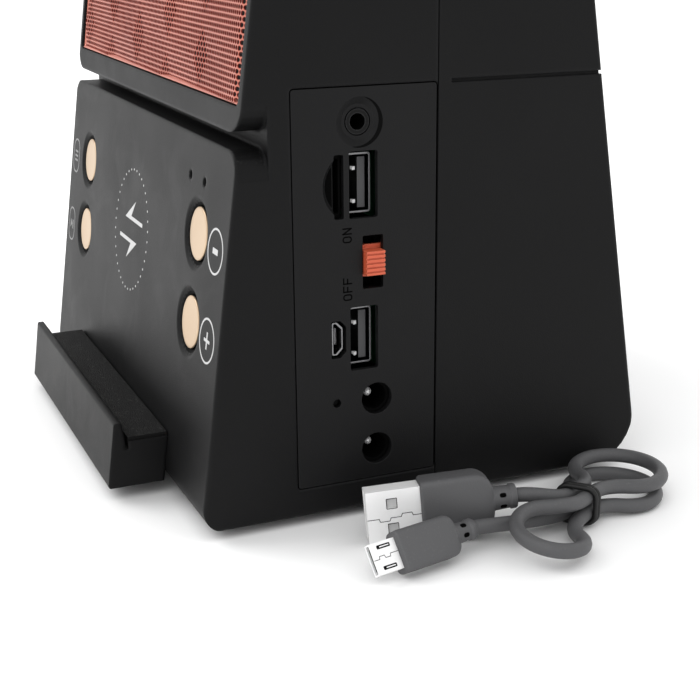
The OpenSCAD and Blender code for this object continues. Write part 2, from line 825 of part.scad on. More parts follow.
module speaker_cones() {
    small = magnet_d - 4;
    color([0.3, 0.3, 0.3])
    for (sx = [-1, 1]) on_front(sx * speaker_x, speaker_z) translate([0, 0, -wall - cone_sink - cone_h])
        difference() {
            cylinder(d1 = small, d2 = cone_d, h = cone_h);
            translate([0, 0, cone_t])
                cylinder(d1 = small - 1.5 * cone_t, d2 = cone_d - 1.5 * cone_t, h = cone_h - cone_t + tiny);
        }
}

// Power
module battery_holder() {
    color([0.15, 0.15, 0.16])
    difference() {
        translate([-holder_size.x / 2, cell_y - holder_size.y / 2, shell_lift]) cube(holder_size);
        for (i = [-1:1])
            translate([0, cell_y + i * cell_pitch, cell_z]) rotate([0, 90, 0])
                cylinder(d = cell_d + 2 * play, h = cell_len + 1, center = true);
    }
}

module battery_cells() {
    color([0.2, 0.35, 0.6])
    for (i = [-1:1])
        translate([0, cell_y + i * cell_pitch, cell_z]) rotate([0, 90, 0])
            cylinder(d = cell_d, h = cell_len, center = true);
}

// Torch
module torch_bezel() {
    color([0.7, 0.7, 0.72])
    on_front(0, torch_z) difference() {
        union() {
            cylinder(d1 = torch_d, d2 = torch_d - 2, h = 2);
            translate([0, 0, -wall - 4]) cylinder(d = torch_d - 2, h = wall + 4 + tiny);
        }
        translate([0, 0, -20]) cylinder(d = torch_bore, h = 20);
        translate([0, 0, -tiny]) cylinder(d1 = torch_bore - 3, d2 = torch_bore - 1, h = 4);
    }
}

module torch_lens() {
    color([0.8, 0.88, 0.92, 0.6])
    on_front(0, torch_z) translate([0, 0, -2]) cylinder(d = torch_bore - 2 * play, h = 2);
}

module torch_reflector() {
    color([0.85, 0.85, 0.87])
    on_front(0, torch_z) translate([0, 0, -2 - torch_depth]) difference() {
        cylinder(d1 = 12, d2 = torch_bore - 1, h = torch_depth);
        translate([0, 0, -tiny]) cylinder(d1 = 8, d2 = torch_bore - 3, h = torch_depth + 2 * tiny);
    }
}

module torch_led() {
    color([0.95, 0.9, 0.6])
    on_front(0, torch_z) translate([0, 0, -2 - torch_depth]) {
        translate([0, 0, -led_plate[1]]) cylinder(d = led_plate[0], h = led_plate[1]);
        translate([0, 0, -tiny]) cylinder(d = led_dome, h = led_dome / 2);
        translate([0, 0, led_dome / 2]) sphere(d = led_dome);
    }
}

module torch_button() {
    top = body_h - wall - fit;
    color([0.93, 0.76, 0.58])
    translate([torch_button_x, torch_button_y, 0]) {
        translate([0, 0, top]) cylinder(d = torch_button_d, h = wall + fit);
        translate([0, 0, top - flange_t]) cylinder(d = torch_button_d + 2.4, h = flange_t + tiny);
        translate([0, 0, top - 4]) cylinder(d = 4, h = 4);
    }
}

module torch_switch() {
    top = body_h - wall;
    color([0.2, 0.2, 0.21])
    translate([torch_button_x, torch_button_y, top - cup_depth]) {
        difference() {
            cylinder(d = cup_inner + 2 * cup_wall, h = cup_depth);
            translate([0, 0, 1.6]) cylinder(d = cup_inner, h = cup_depth);
        }
        translate([-3, -3, 1.6 - tiny]) cube([6, 6, tact_h]);
        plunger_top = cup_depth - fit - 4 - button_travel - play;
        cylinder(d = 3.5, h = plunger_top);
    }
}

// Handle
module handle_arm() {
    rotate([90, 0, 90]) linear_extrude(arm_t) difference() {
        union() {
            translate([pivot_y, pivot_z]) circle(r = arm_boss);
            translate([pivot_y - arm_w / 2, pivot_z]) square([arm_w, arm_len]);
            translate([pivot_y, bar_z]) circle(r = arm_w / 2 + 0.5);
        }
        translate([pivot_y, pivot_z]) circle(d = pin_d + 2 * run);
    }
}

module handle() {
    color([0.13, 0.13, 0.135]) {
        translate([arm_x, 0, 0]) handle_arm();
        mirror([1, 0, 0]) translate([arm_x, 0, 0]) handle_arm();
        translate([0, pivot_y, bar_z]) rotate([0, 90, 0]) cylinder(r = bar_r, h = 2 * arm_x + 1, center = true);
    }
}

module handle_grip() {
    color([0.18, 0.18, 0.18])
    translate([0, pivot_y, bar_z]) rotate([0, 90, 0]) difference() {
        cylinder(d = grip_d, h = 2 * arm_x - 24, center = true);
        cylinder(r = bar_r + run, h = far, center = true);
    }
}

module handle_pins() {
    inner = side_x(pivot_z) - wall - 9;
    color([0.6, 0.6, 0.62])
    for (sx = [-1, 1]) translate([0, pivot_y, pivot_z]) rotate([0, sx * 90, 0]) {
        translate([0, 0, inner]) cylinder(d = pin_d, h = arm_x + arm_t + fit - inner + tiny);
        translate([0, 0, arm_x + arm_t + fit]) cylinder(d = pin_d + 5, h = 1.6);
    }
}

// Cable: two leads, two loops and a fold held by a tie, as one unbroken tube
tie_at = [100.8, 24];
tie_w = 4;
tie_t = 1.2;
tie_clear = 0.8;
strand = cable_d + 0.6;
tie_low = tie_t + 0.4 + cable_d / 2;
tie_sag = tie_low - cable_d / 2 - 0.1;
hank_turn = 31;
fold_flare = 10;
fold_reach = 3;
fold_lift = 2.5;
usb_plug_at = [92.5, -12.1, 7.3];
usb_plug_turn = -15;
usb_plug_tilt = 4.5;
usb_plug_roll = -4.6;
usb_grip_len = 16.5;
usb_relief_len = 5.5;
micro_plug_at = [106.85, -24.6, 5.35];
micro_plug_turn = 11.5;
micro_plug_roll = -36.4;
micro_grip_len = 15.2;
micro_relief_len = 5.5;
lead_rings = 8;

function turned(v, a) = [v.x * cos(a) - v.y * sin(a), v.x * sin(a) + v.y * cos(a), v.z];
// One loop of 24 rings from one place in the tie to the next: it opens on arcs, goes round and closes again
function loop_points(r, flare, reach, from, to, side, way, lift) =
    let (half = abs(from.x - to.x) / 2, mid = (from.x + to.x) / 2)
    let (rise = sqrt(pow(r + flare, 2) - pow(half + flare, 2)), sweep = asin(rise / (r + flare)))
    let (open = [for (i = [0:5]) let (a = sweep * i / 5)
        [half + flare - flare * cos(a), reach + flare * sin(a)]])
    let (bend = [for (i = [1:12]) let (a = -sweep + (180 + 2 * sweep) * i / 13)
        [r * cos(a), reach + rise + r * sin(a)]])
    let (close = [for (i = [5:-1:1]) [-open[i].x, open[i].y]])
    let (line = concat([[half, 0]], open, bend, close), n = len(line))
    [for (i = [0:n - 1])
        let (t = i / n, s = t * t * (3 - 2 * t), h = min(1, line[i].y / (reach + rise)), g = h * h * (3 - 2 * h))
        let (p = turned([side * line[i].x + mid, way * line[i].y, 0], hank_turn))
        [tie_at.x + p.x, tie_at.y + p.y,
         from.y * (1 - s) + to.y * s + g * (lift > 0 ? lift * (1 - s) - tie_sag * s : -tie_sag)]];
// A lead is one smooth curve between two points with a given direction at each
function lead_points(p, dp, q, dq, n) =
    [for (i = [0:n - 1]) let (t = i / n)
        p * (1 + t * t * (2 * t - 3)) + dp * t * (1 - t) * (1 - t)
            + q * t * t * (3 - 2 * t) - dq * t * t * (1 - t)];

far_high = [-strand / 2, tie_low + strand];
near_high = [strand / 2, tie_low + strand];
near_low = [strand / 2, tie_low];
far_low = [-strand / 2, tie_low];
usb_dir = turned([0, cos(usb_plug_tilt), sin(usb_plug_tilt)], usb_plug_turn);
micro_dir = turned([0, 1, 0], micro_plug_turn);
usb_end = usb_plug_at + (usb_grip_len + usb_relief_len) * usb_dir;
micro_end = micro_plug_at + (micro_grip_len + micro_relief_len) * micro_dir;
hank_dir = turned([0, 1, 0], hank_turn);
tie_in = concat(tie_at, 0) + turned([far_high.x, 0, far_high.y], hank_turn);
tie_out = concat(tie_at, 0) + turned([far_low.x, 0, far_low.y], hank_turn);
cable_path = concat(
    lead_points(usb_end, 15 * usb_dir, tie_in, 15 * hank_dir, lead_rings),
    loop_points(loop_r, loop_r, loop_reach, far_high, near_high, -1, 1, 0),
    loop_points(fold_r, fold_flare, fold_reach, near_high, near_low, -1, -1, fold_lift),
    loop_points(loop_r, loop_r, loop_reach - 2.5, near_low, far_low, 1, 1, 0),
    lead_points(tie_out, -24 * hank_dir, micro_end, -12 * micro_dir, 2 * lead_rings),
    [micro_end]);

path_n = len(cable_path);
cable_len = norm_sum(cable_path);
function norm_sum(p, i = 0, s = 0) = i >= len(p) - 1 ? s : norm_sum(p, i + 1, s + norm(p[i + 1] - p[i]));
// Least gap between parts of the cable that are further apart along it than 5 diameters
function along(p) = [for (i = 0, s = 0; i < len(p);
    s = s + (i + 1 < len(p) ? norm(p[i + 1] - p[i]) : 0), i = i + 1) s];
cable_run = along(cable_path);
cable_gap = min([for (i = [0:path_n - 1], j = [i + 1:1:path_n - 1])
    cable_run[j] - cable_run[i] > 5 * cable_d ? norm(cable_path[i] - cable_path[j]) : far]) - cable_d;
// Tightest bend of the cable, from each three points in turn
cable_bend = min([for (i = [1:path_n - 2])
    let (a = cable_path[i - 1], b = cable_path[i], c = cable_path[i + 1])
    norm(b - a) * norm(c - b) * norm(c - a) / max(2 * norm(cross(b - a, c - a)), 0.001)]);
echo(cable_length = cable_len, least_gap = cable_gap, tightest_bend = cable_bend);

module tube(p, d, n = 6) {
    k = len(p);
    points = [for (i = [0:k - 1])
        let (t = unit(p[min(i + 1, k - 1)] - p[max(i - 1, 0)]), s = unit(cross(t, [0, 0, 1])), u = cross(s, t))
        for (j = [0:n - 1]) p[i] + d / 2 * (cos(360 * j / n) * s + sin(360 * j / n) * u)];
    sides = [for (i = [0:k - 2], j = [0:n - 1]) each
        [[i * n + j, (i + 1) * n + j, i * n + (j + 1) % n],
         [i * n + (j + 1) % n, (i + 1) * n + j, (i + 1) * n + (j + 1) % n]]];
    ends = [for (j = [1:n - 2]) each
        [[0, j, j + 1], [(k - 1) * n, (k - 1) * n + j + 1, (k - 1) * n + j]]];
    polyhedron(points, concat(sides, ends));
}

module cable() {
    color([0.4, 0.4, 0.41]) tube(cable_path, cable_d);
}

module cable_tie() {
    inner = [strand + cable_d + 2 * tie_clear, strand + cable_d + 0.8];
    color([0.06, 0.06, 0.06])
    translate([tie_at.x, tie_at.y, tie_t + inner.y / 2]) rotate([90, 0, hank_turn])
        linear_extrude(tie_w, center = true) difference() {
            polygon(box_outline(inner.x + 2 * tie_t, inner.y + 2 * tie_t, 2.4, 4));
            polygon(box_outline(inner.x, inner.y, 1.2, 4));
        }
}

// Plugs of the cable, each leaning on its narrow edge and pointing to -Y
module usb_plug() {
    translate(usb_plug_at) rotate([0, 0, usb_plug_turn]) rotate([usb_plug_tilt, 0, 0])
        rotate([0, usb_plug_roll, 0]) children();
}

module micro_plug() {
    translate(micro_plug_at) rotate([0, 0, micro_plug_turn]) rotate([0, micro_plug_roll, 0]) children();
}

module plug_grip(len, height, width, r_front, r_rear, relief_d, relief_len, core) {
    difference() {
        union() {
            rotate([90, 0, 90]) linear_extrude(width, center = true)
                polygon(rounded([[0, -height / 2], [len, -height / 2], [len, height / 2], [0, height / 2]],
                                [r_front, r_rear, r_rear, r_front], 5));
            translate([0, len - tiny, 0]) rotate([-90, 0, 0])
                cylinder(d1 = relief_d, d2 = relief_d - 0.8, h = relief_len);
        }
        translate([0, len + relief_len - 1, 0]) rotate([-90, 0, 0]) cylinder(d = core, h = 2);
    }
}

module plug_metal(len, height, width, t) {
    difference() {
        translate([-width / 2, -len, -height / 2]) cube([width, len, height]);
        translate([-width / 2 + t, -len - 1, -height / 2 + t]) cube([width - 2 * t, len, height - 2 * t]);
    }
}

module usb_plug_shell() {
    color([0.82, 0.82, 0.84])
    usb_plug() difference() {
        plug_metal(12.2, 12, 4.5, 0.4);
        for (z = [-2.9, 2.9]) translate([-5, -7.6, z - 1.1]) cube([10, 2.2, 2.2]);
    }
}

module usb_plug_grip() {
    color([0.4, 0.4, 0.41])
    usb_plug() plug_grip(usb_grip_len, 14, 6.6, 1.2, 4.5, 5.8, usb_relief_len, cable_d + 0.2);
}

module micro_plug_shell() {
    color([0.82, 0.82, 0.84])
    micro_plug() plug_metal(6.4, 6.8, 1.8, 0.3);
}

module micro_plug_grip() {
    color([0.4, 0.4, 0.41])
    micro_plug() plug_grip(micro_grip_len, 9.2, 5, 1, 2.4, 4.9, micro_relief_len, cable_d + 0.2);
}

// The origin lies on the floor, under the middle of the object's depth
origin_y = 7.74774;
module placed() {
    translate([0, origin_y, 0]) children();
}

placed() front_shell();
placed() rear_shell();
placed() base_plate();
placed() rubber_feet();
placed() case_screws();
placed() base_screws();
placed() port_panel();
placed() side_board();
placed() aux_jack();
placed() card_socket();
placed() usb_media_shell();
placed() usb_charge_shell();
placed() usb_tongues();
placed() micro_usb_port();
placed() dc_jack_upper();
placed() dc_jack_lower();
placed() dc_pins();
placed() charge_led();
placed() switch_body();
placed() switch_knob();
placed() mode_button();
placed() play_button();
placed() minus_button();
placed() plus_button();
placed() tact_switches();
placed() control_board();
placed() status_leds();
placed() charging_coil();
placed() ferrite_sheet();
placed() phone_ledge();
placed() ledge_pad();
placed() speaker_grille();
placed() speaker_left();
placed() speaker_right();
placed() speaker_cones();
placed() battery_holder();
placed() battery_cells();
placed() torch_bezel();
placed() torch_lens();
placed() torch_reflector();
placed() torch_led();
placed() torch_button();
placed() torch_switch();
placed() handle();
placed() handle_grip();
placed() handle_pins();
placed() cable();
placed() cable_tie();
placed() usb_plug_shell();
placed() usb_plug_grip();
placed() micro_plug_shell();
placed() micro_plug_grip();
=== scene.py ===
"""Flashlight radio on a white table, with its charging cable beside it."""
import json
import math

import bmesh
import bpy
from mathutils import Matrix, Vector


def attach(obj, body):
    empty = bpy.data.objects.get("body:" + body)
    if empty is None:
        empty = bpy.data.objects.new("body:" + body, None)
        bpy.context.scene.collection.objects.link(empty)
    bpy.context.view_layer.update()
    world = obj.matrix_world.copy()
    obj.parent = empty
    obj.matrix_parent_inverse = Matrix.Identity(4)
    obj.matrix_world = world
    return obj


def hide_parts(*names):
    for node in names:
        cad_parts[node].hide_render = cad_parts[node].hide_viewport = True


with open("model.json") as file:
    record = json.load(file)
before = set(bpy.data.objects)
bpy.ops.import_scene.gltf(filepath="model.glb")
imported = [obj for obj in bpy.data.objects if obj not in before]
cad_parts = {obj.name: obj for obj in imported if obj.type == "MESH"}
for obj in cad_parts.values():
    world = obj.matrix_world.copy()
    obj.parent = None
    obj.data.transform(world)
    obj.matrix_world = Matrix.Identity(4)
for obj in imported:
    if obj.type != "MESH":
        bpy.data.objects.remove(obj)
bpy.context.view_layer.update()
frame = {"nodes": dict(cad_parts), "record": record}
MM = 0.001
X_AXIS, Y_AXIS, Z_AXIS = Vector((1, 0, 0)), Vector((0, 1, 0)), Vector((0, 0, 1))

# Faces of the tapered case, in millimetres, as functions of the height.
# ORIGIN_Y is where the middle of the case's base lies in the frame.
ORIGIN_Y = 7.74774
FRONT_FOOT, FRONT_LEAN = -58, math.radians(7.7)
SIDE_FOOT, SIDE_DRAFT = 76.25, math.radians(1)


def front_y(z):
    return FRONT_FOOT + z * math.tan(FRONT_LEAN)


def side_x(z):
    return SIDE_FOOT - z * math.tan(SIDE_DRAFT)


def in_metres(x, y, z):
    return Vector((x, y + ORIGIN_Y, z)) * MM


def place(at, right, up, out):
    """Matrix that puts millimetres along right, up and out at a point of the case."""
    turn = Matrix((right, up, out)).transposed().to_4x4()
    return Matrix.Translation(at) @ turn @ Matrix.Scale(MM, 4)


def on_front(x, z):
    """Place on the leaning front face: across, up along the face, and out of it."""
    up = Vector((0, math.sin(FRONT_LEAN), math.cos(FRONT_LEAN)))
    out = Vector((0, -math.cos(FRONT_LEAN), math.sin(FRONT_LEAN)))
    return place(in_metres(x, front_y(z), z), X_AXIS, up, out)


def on_side(y, z):
    """Place on the port side: towards the back, up along the face, and out of it."""
    out = Vector((math.cos(SIDE_DRAFT), 0, math.sin(SIDE_DRAFT)))
    up = Vector((-math.sin(SIDE_DRAFT), 0, math.cos(SIDE_DRAFT)))
    return place(in_metres(side_x(z), y, z), Y_AXIS, up, out)


# Camera at the place the picture was taken from
CAMERA_AT = (336.79, -135.06, 133.24)
YAW, PITCH, ROLL = math.radians(66.516), math.radians(18.01), math.radians(-0.163)
FOCAL_PIXELS, PICTURE_PIXELS, SENSOR_MM = 1340, 700, 36


def make_camera():
    look = Vector((-math.sin(YAW) * math.cos(PITCH), math.cos(YAW) * math.cos(PITCH), -math.sin(PITCH)))
    level = Vector((math.cos(YAW), math.sin(YAW), 0))
    rise = level.cross(look)
    right = math.cos(ROLL) * level + math.sin(ROLL) * rise
    up = math.cos(ROLL) * rise - math.sin(ROLL) * level
    data = bpy.data.cameras.new("camera")
    data.sensor_width = SENSOR_MM
    data.lens = FOCAL_PIXELS / PICTURE_PIXELS * SENSOR_MM
    data.clip_start = 0.01
    camera = bpy.data.objects.new("camera", data)
    turn = Matrix((right, up, -look)).transposed().to_4x4()
    camera.matrix_world = Matrix.Translation(in_metres(*CAMERA_AT)) @ turn
    bpy.context.scene.collection.objects.link(camera)
    bpy.context.scene.camera = camera


make_camera()
bpy.context.scene.view_settings.view_transform = "Standard"


# Node helpers
def linker(tree):
    """Function that links one node's output to another node's input, each by name or number."""
    def link(source, output, target, entry):
        tree.links.new(source.outputs[output], target.inputs[entry])
    return link


def add(tree, kind, **values):
    """A node with its settings and socket values; in a socket's name an underscore stands for a space."""
    node = tree.nodes.new("ShaderNode" + kind)
    for key, value in values.items():
        if hasattr(node, key):
            setattr(node, key, value)
        else:
            node.inputs[key.replace("_", " ")].default_value = value
    return node


def add_mix(tree, **colours):
    """A mix of two colours, A and B, where they are given."""
    return add(tree, "Mix", data_type="RGBA", **{end: (*c, 1) for end, c in colours.items()})


def new_group(name, inputs, values, vectors=()):
    """A node group with its inputs and their defaults, and its outputs, single values or vectors."""
    tree = bpy.data.node_groups.new(name, "ShaderNodeTree")
    for label, value in inputs.items():
        socket = tree.interface.new_socket(name=label, in_out="INPUT", socket_type="NodeSocketFloat")
        socket.default_value = value
    for labels, kind in ((vectors, "NodeSocketVector"), (values, "NodeSocketFloat")):
        for label in labels:
            tree.interface.new_socket(name=label, in_out="OUTPUT", socket_type=kind)
    return tree, linker(tree), tree.nodes.new("NodeGroupInput"), tree.nodes.new("NodeGroupOutput")


def use_group(tree, group, **values):
    return add(tree, "Group", node_tree=group, **values)


# Effects that the finishes share
def make_moulded_grain():
    """Fine spark-eroded grain of moulded plastic, and the slow patches of its gloss."""
    tree, link, given, result = new_group(
        "moulded grain", {"Scale": 2500, "Depth": 1}, values=("Height", "Patches"))
    where = add(tree, "TexCoord")
    fine = add(tree, "TexNoise", Detail=2.0, Roughness=0.55)
    slow = add(tree, "TexNoise", Scale=28.0, Detail=3.0)
    deep = add(tree, "Math", operation="MULTIPLY")
    link(where, "Object", fine, "Vector")
    link(where, "Object", slow, "Vector")
    link(given, "Scale", fine, "Scale")
    link(fine, "Fac", deep, 0)
    link(given, "Depth", deep, 1)
    link(deep, 0, result, "Height")
    link(slow, "Fac", result, "Patches")
    return tree


def make_soft_edges():
    """Small rounding of every edge, and a mask of where the edges are."""
    tree, link, given, result = new_group(
        "soft edges", {"Radius": 0.0006}, values=("Edge",), vectors=("Normal",))
    bevel = add(tree, "Bevel", samples=6)
    surface = add(tree, "NewGeometry")
    same = add(tree, "VectorMath", operation="DOT_PRODUCT")
    spread = add(tree, "MapRange", From_Min=1.0, From_Max=0.86)
    link(given, "Radius", bevel, "Radius")
    link(bevel, "Normal", same, 0)
    link(surface, "Normal", same, 1)
    link(same, "Value", spread, "Value")
    link(bevel, "Normal", result, "Normal")
    link(spread, "Result", result, "Edge")
    return tree


def make_handling():
    """Faint smudges from hands, and dust that settles on faces that look up."""
    tree, link, given, result = new_group(
        "handling", {"Smudges": 0.5, "Dust": 0.3}, values=("Smudge", "Dust"))
    where = add(tree, "TexCoord")
    smear = add(tree, "TexNoise", Scale=60.0, Detail=5.0, Roughness=0.6, Distortion=0.8)
    smear_range = add(tree, "MapRange", From_Min=0.48, From_Max=0.72)
    smear_out = add(tree, "Math", operation="MULTIPLY")
    specks = add(tree, "TexNoise", Scale=1800.0, Detail=1.0)
    specks_range = add(tree, "MapRange", From_Min=0.62, From_Max=0.72)
    surface = add(tree, "NewGeometry")
    facing = add(tree, "SeparateXYZ")
    up = add(tree, "MapRange", From_Min=0.2)
    settled = add(tree, "Math", operation="MULTIPLY")
    dust_out = add(tree, "Math", operation="MULTIPLY")
    link(where, "Object", smear, "Vector")
    link(where, "Object", specks, "Vector")
    link(smear, "Fac", smear_range, "Value")
    link(smear_range, "Result", smear_out, 0)
    link(given, "Smudges", smear_out, 1)
    link(smear_out, 0, result, "Smudge")
    link(specks, "Fac", specks_range, "Value")
    link(surface, "Normal", facing, 0)
    link(facing, "Z", up, "Value")
    link(specks_range, "Result", settled, 0)
    link(up, "Result", settled, 1)
    link(settled, 0, dust_out, 0)
    link(given, "Dust", dust_out, 1)
    link(dust_out, 0, result, "Dust")
    return tree


def make_outward():
    """Mask of the faces that look along one direction, such as the rim of a socket; the other faces get
    painted shade.
    """
    tree, link, given, result = new_group(
        "outward faces", {"Along X": 1, "Along Y": 0, "Along Z": 0}, values=("Outward",))
    surface = add(tree, "NewGeometry")
    way = add(tree, "CombineXYZ")
    facing = add(tree, "VectorMath", operation="DOT_PRODUCT")
    mask = add(tree, "MapRange", From_Min=0.55, From_Max=0.9)
    for axis in "XYZ":
        link(given, "Along " + axis, way, axis)
    link(surface, "Normal", facing, 0)
    link(way, 0, facing, 1)
    link(facing, "Value", mask, "Value")
    link(mask, "Result", result, "Outward")
    return tree


GRAIN = make_moulded_grain()
EDGES = make_soft_edges()
HANDLING = make_handling()
OUTWARD = make_outward()

# Finishes
DUST_GREY = (0.32, 0.31, 0.3)
SMUDGE_GLOSS = -0.12


def grey(level):
    return (level, level, level)


def lighter(colour, gain, lift):
    return [min(1, c * gain + lift) for c in colour]


def new_material(name):
    """A material, with its tree, its linking function and its shader."""
    material = bpy.data.materials.new(name)
    material.use_nodes = True
    tree = material.node_tree
    return material, tree, linker(tree), tree.nodes["Principled BSDF"]


def finish_material(name, colour, rough, specular=0.5, metallic=0.0, grain=(2500, 0.3), bump=0.00004,
                    edge=0.0006, edge_wear_and_highlight=None, smudges=0.4, dust=0.2, spread=0.08, tone=None, inside_shade=None):
    """A moulded, painted or plated surface: grain, soft edges, smudges and settled dust.

    grain is its scale and its depth. Lengths are in metres. With inside_shade, only the faces that look out
    of the port side keep the colour, and the others get that darker colour as painted shade."""
    material, tree, link, shader = new_material(name)
    shader.inputs["Specular IOR Level"].default_value = specular
    shader.inputs["Metallic"].default_value = metallic
    texture = use_group(tree, GRAIN, Scale=grain[0], Depth=grain[1])
    soft = use_group(tree, EDGES, Radius=edge)
    hands = use_group(tree, HANDLING, Smudges=smudges, Dust=dust)
    # colour: slow patches, lighter edges, which are partly wear and partly a painted highlight, and dust
    patch = add_mix(tree, A=colour, B=tone or lighter(colour, 1.25, 0.002))
    worn = add_mix(tree, B=edge_wear_and_highlight or lighter(colour, 1.5, 0.006))
    dusty = add_mix(tree, B=DUST_GREY)
    link(texture, "Patches", patch, "Factor")
    link(patch, "Result", worn, "A")
    link(soft, "Edge", worn, "Factor")
    link(worn, "Result", dusty, "A")
    link(hands, "Dust", dusty, "Factor")
    surface = dusty
    # painted shade: faces that don't look out of the port side take the darker colour
    if inside_shade:
        outward = use_group(tree, OUTWARD)
        surface = add_mix(tree, A=inside_shade)
        link(outward, "Outward", surface, "Factor")
        link(dusty, "Result", surface, "B")
    link(surface, "Result", shader, "Base Color")
    # gloss: the same slow patches, and shinier smudges
    gloss = add(tree, "MapRange", To_Min=rough - spread, To_Max=rough + spread)
    smeared = add(tree, "Math", operation="MULTIPLY_ADD")
    smeared.inputs[1].default_value = SMUDGE_GLOSS
    link(texture, "Patches", gloss, "Value")
    link(hands, "Smudge", smeared, 0)
    link(gloss, "Result", smeared, 2)
    link(smeared, 0, shader, "Roughness")
    # grain in relief over the soft edges
    relief = add(tree, "Bump", Distance=bump)
    link(texture, "Height", relief, "Height")
    link(soft, "Normal", relief, "Normal")
    link(relief, "Normal", shader, "Normal")
    return material


def make_lens_clear():
    """Clear plastic of the torch's lens, with smudges in its gloss."""
    material, tree, link, shader = new_material("lens clear")
    shader.inputs["Base Color"].default_value = (0.95, 0.97, 0.98, 1)
    shader.inputs["Transmission Weight"].default_value = 1.0
    shader.inputs["IOR"].default_value = 1.49
    hands = use_group(tree, HANDLING, Smudges=1.0, Dust=0.0)
    gloss = add(tree, "MapRange", To_Min=0.02, To_Max=0.1)
    link(hands, "Smudge", gloss, "Value")
    link(gloss, "Result", shader, "Roughness")
    return material


# One finish for each material slot of the record
FINISHES = {
    "case_black": finish_material(
        "case black", (0.0042, 0.0042, 0.0044), 0.46, specular=0.12, grain=(3200, 1), edge=0.0011,
        edge_wear_and_highlight=(0.009, 0.009, 0.0095), dust=0.05),
    "panel_black": finish_material(
        "panel black", (0.0042, 0.0042, 0.0045), 0.5, specular=0.16, grain=(3600, 1), edge=0.0003, dust=0.0),
    "soft_rubber": finish_material(
        "soft rubber", grey(0.005), 0.8, specular=0.2, grain=(1500, 1), bump=0.00025, edge=0.0004),
    "fastener_steel": finish_material("fastener steel", (0.3, 0.3, 0.31), 0.32, metallic=1.0, edge=0.0002),
    "board_green": finish_material("board green", (0.012, 0.09, 0.035), 0.4, edge=0.0002),
    # Socket metal: the faces that don't look out of the port side are near-black, as painted shade.
    "socket_metal": finish_material(
        "socket metal", (0.2, 0.2, 0.205), 0.3, metallic=0.6, edge=0.00012, smudges=0.2, dust=0.0,
        inside_shade=(0.004, 0.004, 0.0045)),
    "socket_black": finish_material(
        "socket black", grey(0.0012), 0.6, specular=0.04, edge=0.0002, edge_wear_and_highlight=grey(0.003), dust=0.0),
    # Lamps: near-black with almost no gloss, which is painted shade of the holes that they sit in.
    "lamp_clear": finish_material(
        "lamp in painted shade", grey(0.001), 0.3, specular=0.04, edge=0.0002, edge_wear_and_highlight=grey(0.004), dust=0.0),
    "knob_orange": finish_material(
        "knob orange", (0.56, 0.095, 0.042), 0.45, specular=0.4, grain=(2500, 0.6), edge=0.0002,
        edge_wear_and_highlight=(0.72, 0.2, 0.11), dust=0.05),
    "button_gold": finish_material(
        "button gold", (0.5, 0.37, 0.245), 0.36, metallic=0.7, grain=(2600, 0.6), edge=0.0003,
        smudges=0.3, dust=0.0),
    "coil_copper": finish_material("coil copper", (0.6, 0.25, 0.12), 0.3, metallic=1.0, edge=0.0001),
    "ferrite_grey": finish_material("ferrite grey", grey(0.05), 0.6, edge=0.0001),
    "grille_copper": finish_material(
        "grille copper", (0.36, 0.09, 0.066), 0.4, metallic=0.6, grain=(2600, 0.5), edge=0.00004,
        tone=(0.78, 0.3, 0.222), dust=0.0),
    "speaker_metal": finish_material("speaker metal", grey(0.02), 0.4, edge=0.0003),
    "cone_black": finish_material(
        "cone black", grey(0.008), 0.75, grain=(1200, 1), bump=0.0001, edge=0.0002),
    "cell_wrap": finish_material("cell wrap", (0.03, 0.12, 0.3), 0.25, edge=0.0002),
    "lens_clear": make_lens_clear(),
    "reflector_bright": finish_material(
        "reflector bright", (0.85, 0.85, 0.86), 0.08, metallic=1.0, edge=0.0001, smudges=0.0, dust=0.0,
        spread=0.04),
    "cord_grey": finish_material(
        "cord grey", (0.082, 0.082, 0.085), 0.5, specular=0.3, grain=(2200, 1), edge=0.0007, smudges=0.25,
        dust=0.1),
    "tie_black": finish_material("tie black", grey(0.006), 0.45, specular=0.35, edge=0.0003),
    "plug_metal": finish_material(
        "plug metal", grey(0.98), 0.36, metallic=0.15, edge=0.00015, smudges=0.3, dust=0.0),
}

# Finishes of single pieces within a slot
PRINT_WHITE = finish_material(
    "print white", grey(0.5), 0.5, specular=0.3, grain=(4000, 0.6), edge=0.00002, dust=0.0)
PRINT_GREY = finish_material(
    "worn print", grey(0.2), 0.5, specular=0.3, grain=(4000, 0.6), edge=0.00002, dust=0.0)
MARK_BLACK = finish_material("mark black", grey(0.0012), 0.8, specular=0.01, edge=0.00002, dust=0.0)
# Tongue grey: the tongues' own dark grey; their faces that don't look out of the port side are near-black, as
# painted shade.
TONGUE_GREY = finish_material(
    "tongue grey", (0.065, 0.065, 0.068), 0.4, specular=0.3, edge=0.0002, dust=0.0, inside_shade=grey(0.004))
PLUG_INSERT = finish_material("plug insert", grey(0.5), 0.45, specular=0.3, edge=0.0002, dust=0.0)
# Pins of the DC sockets: pale metal, made near-white and mostly matt so that they show bright in the dark
# bore, partly their own colour and partly a painted glint.
PALE_PIN_PAINTED_GLINT = finish_material("pale pin with painted glint", grey(0.9), 0.3, metallic=0.3, edge=0.0001, dust=0.0)
# A darker copy of the grille copper for the faces on the pressed facets: painted shade of the facets.
FACET_COPPER_PAINTED_SHADE = finish_material(
    "facet copper painted shade", (0.28, 0.066, 0.048), 0.4, metallic=0.6, grain=(2600, 0.5), edge=0.00004,
    tone=(0.64, 0.22, 0.16), dust=0.0)
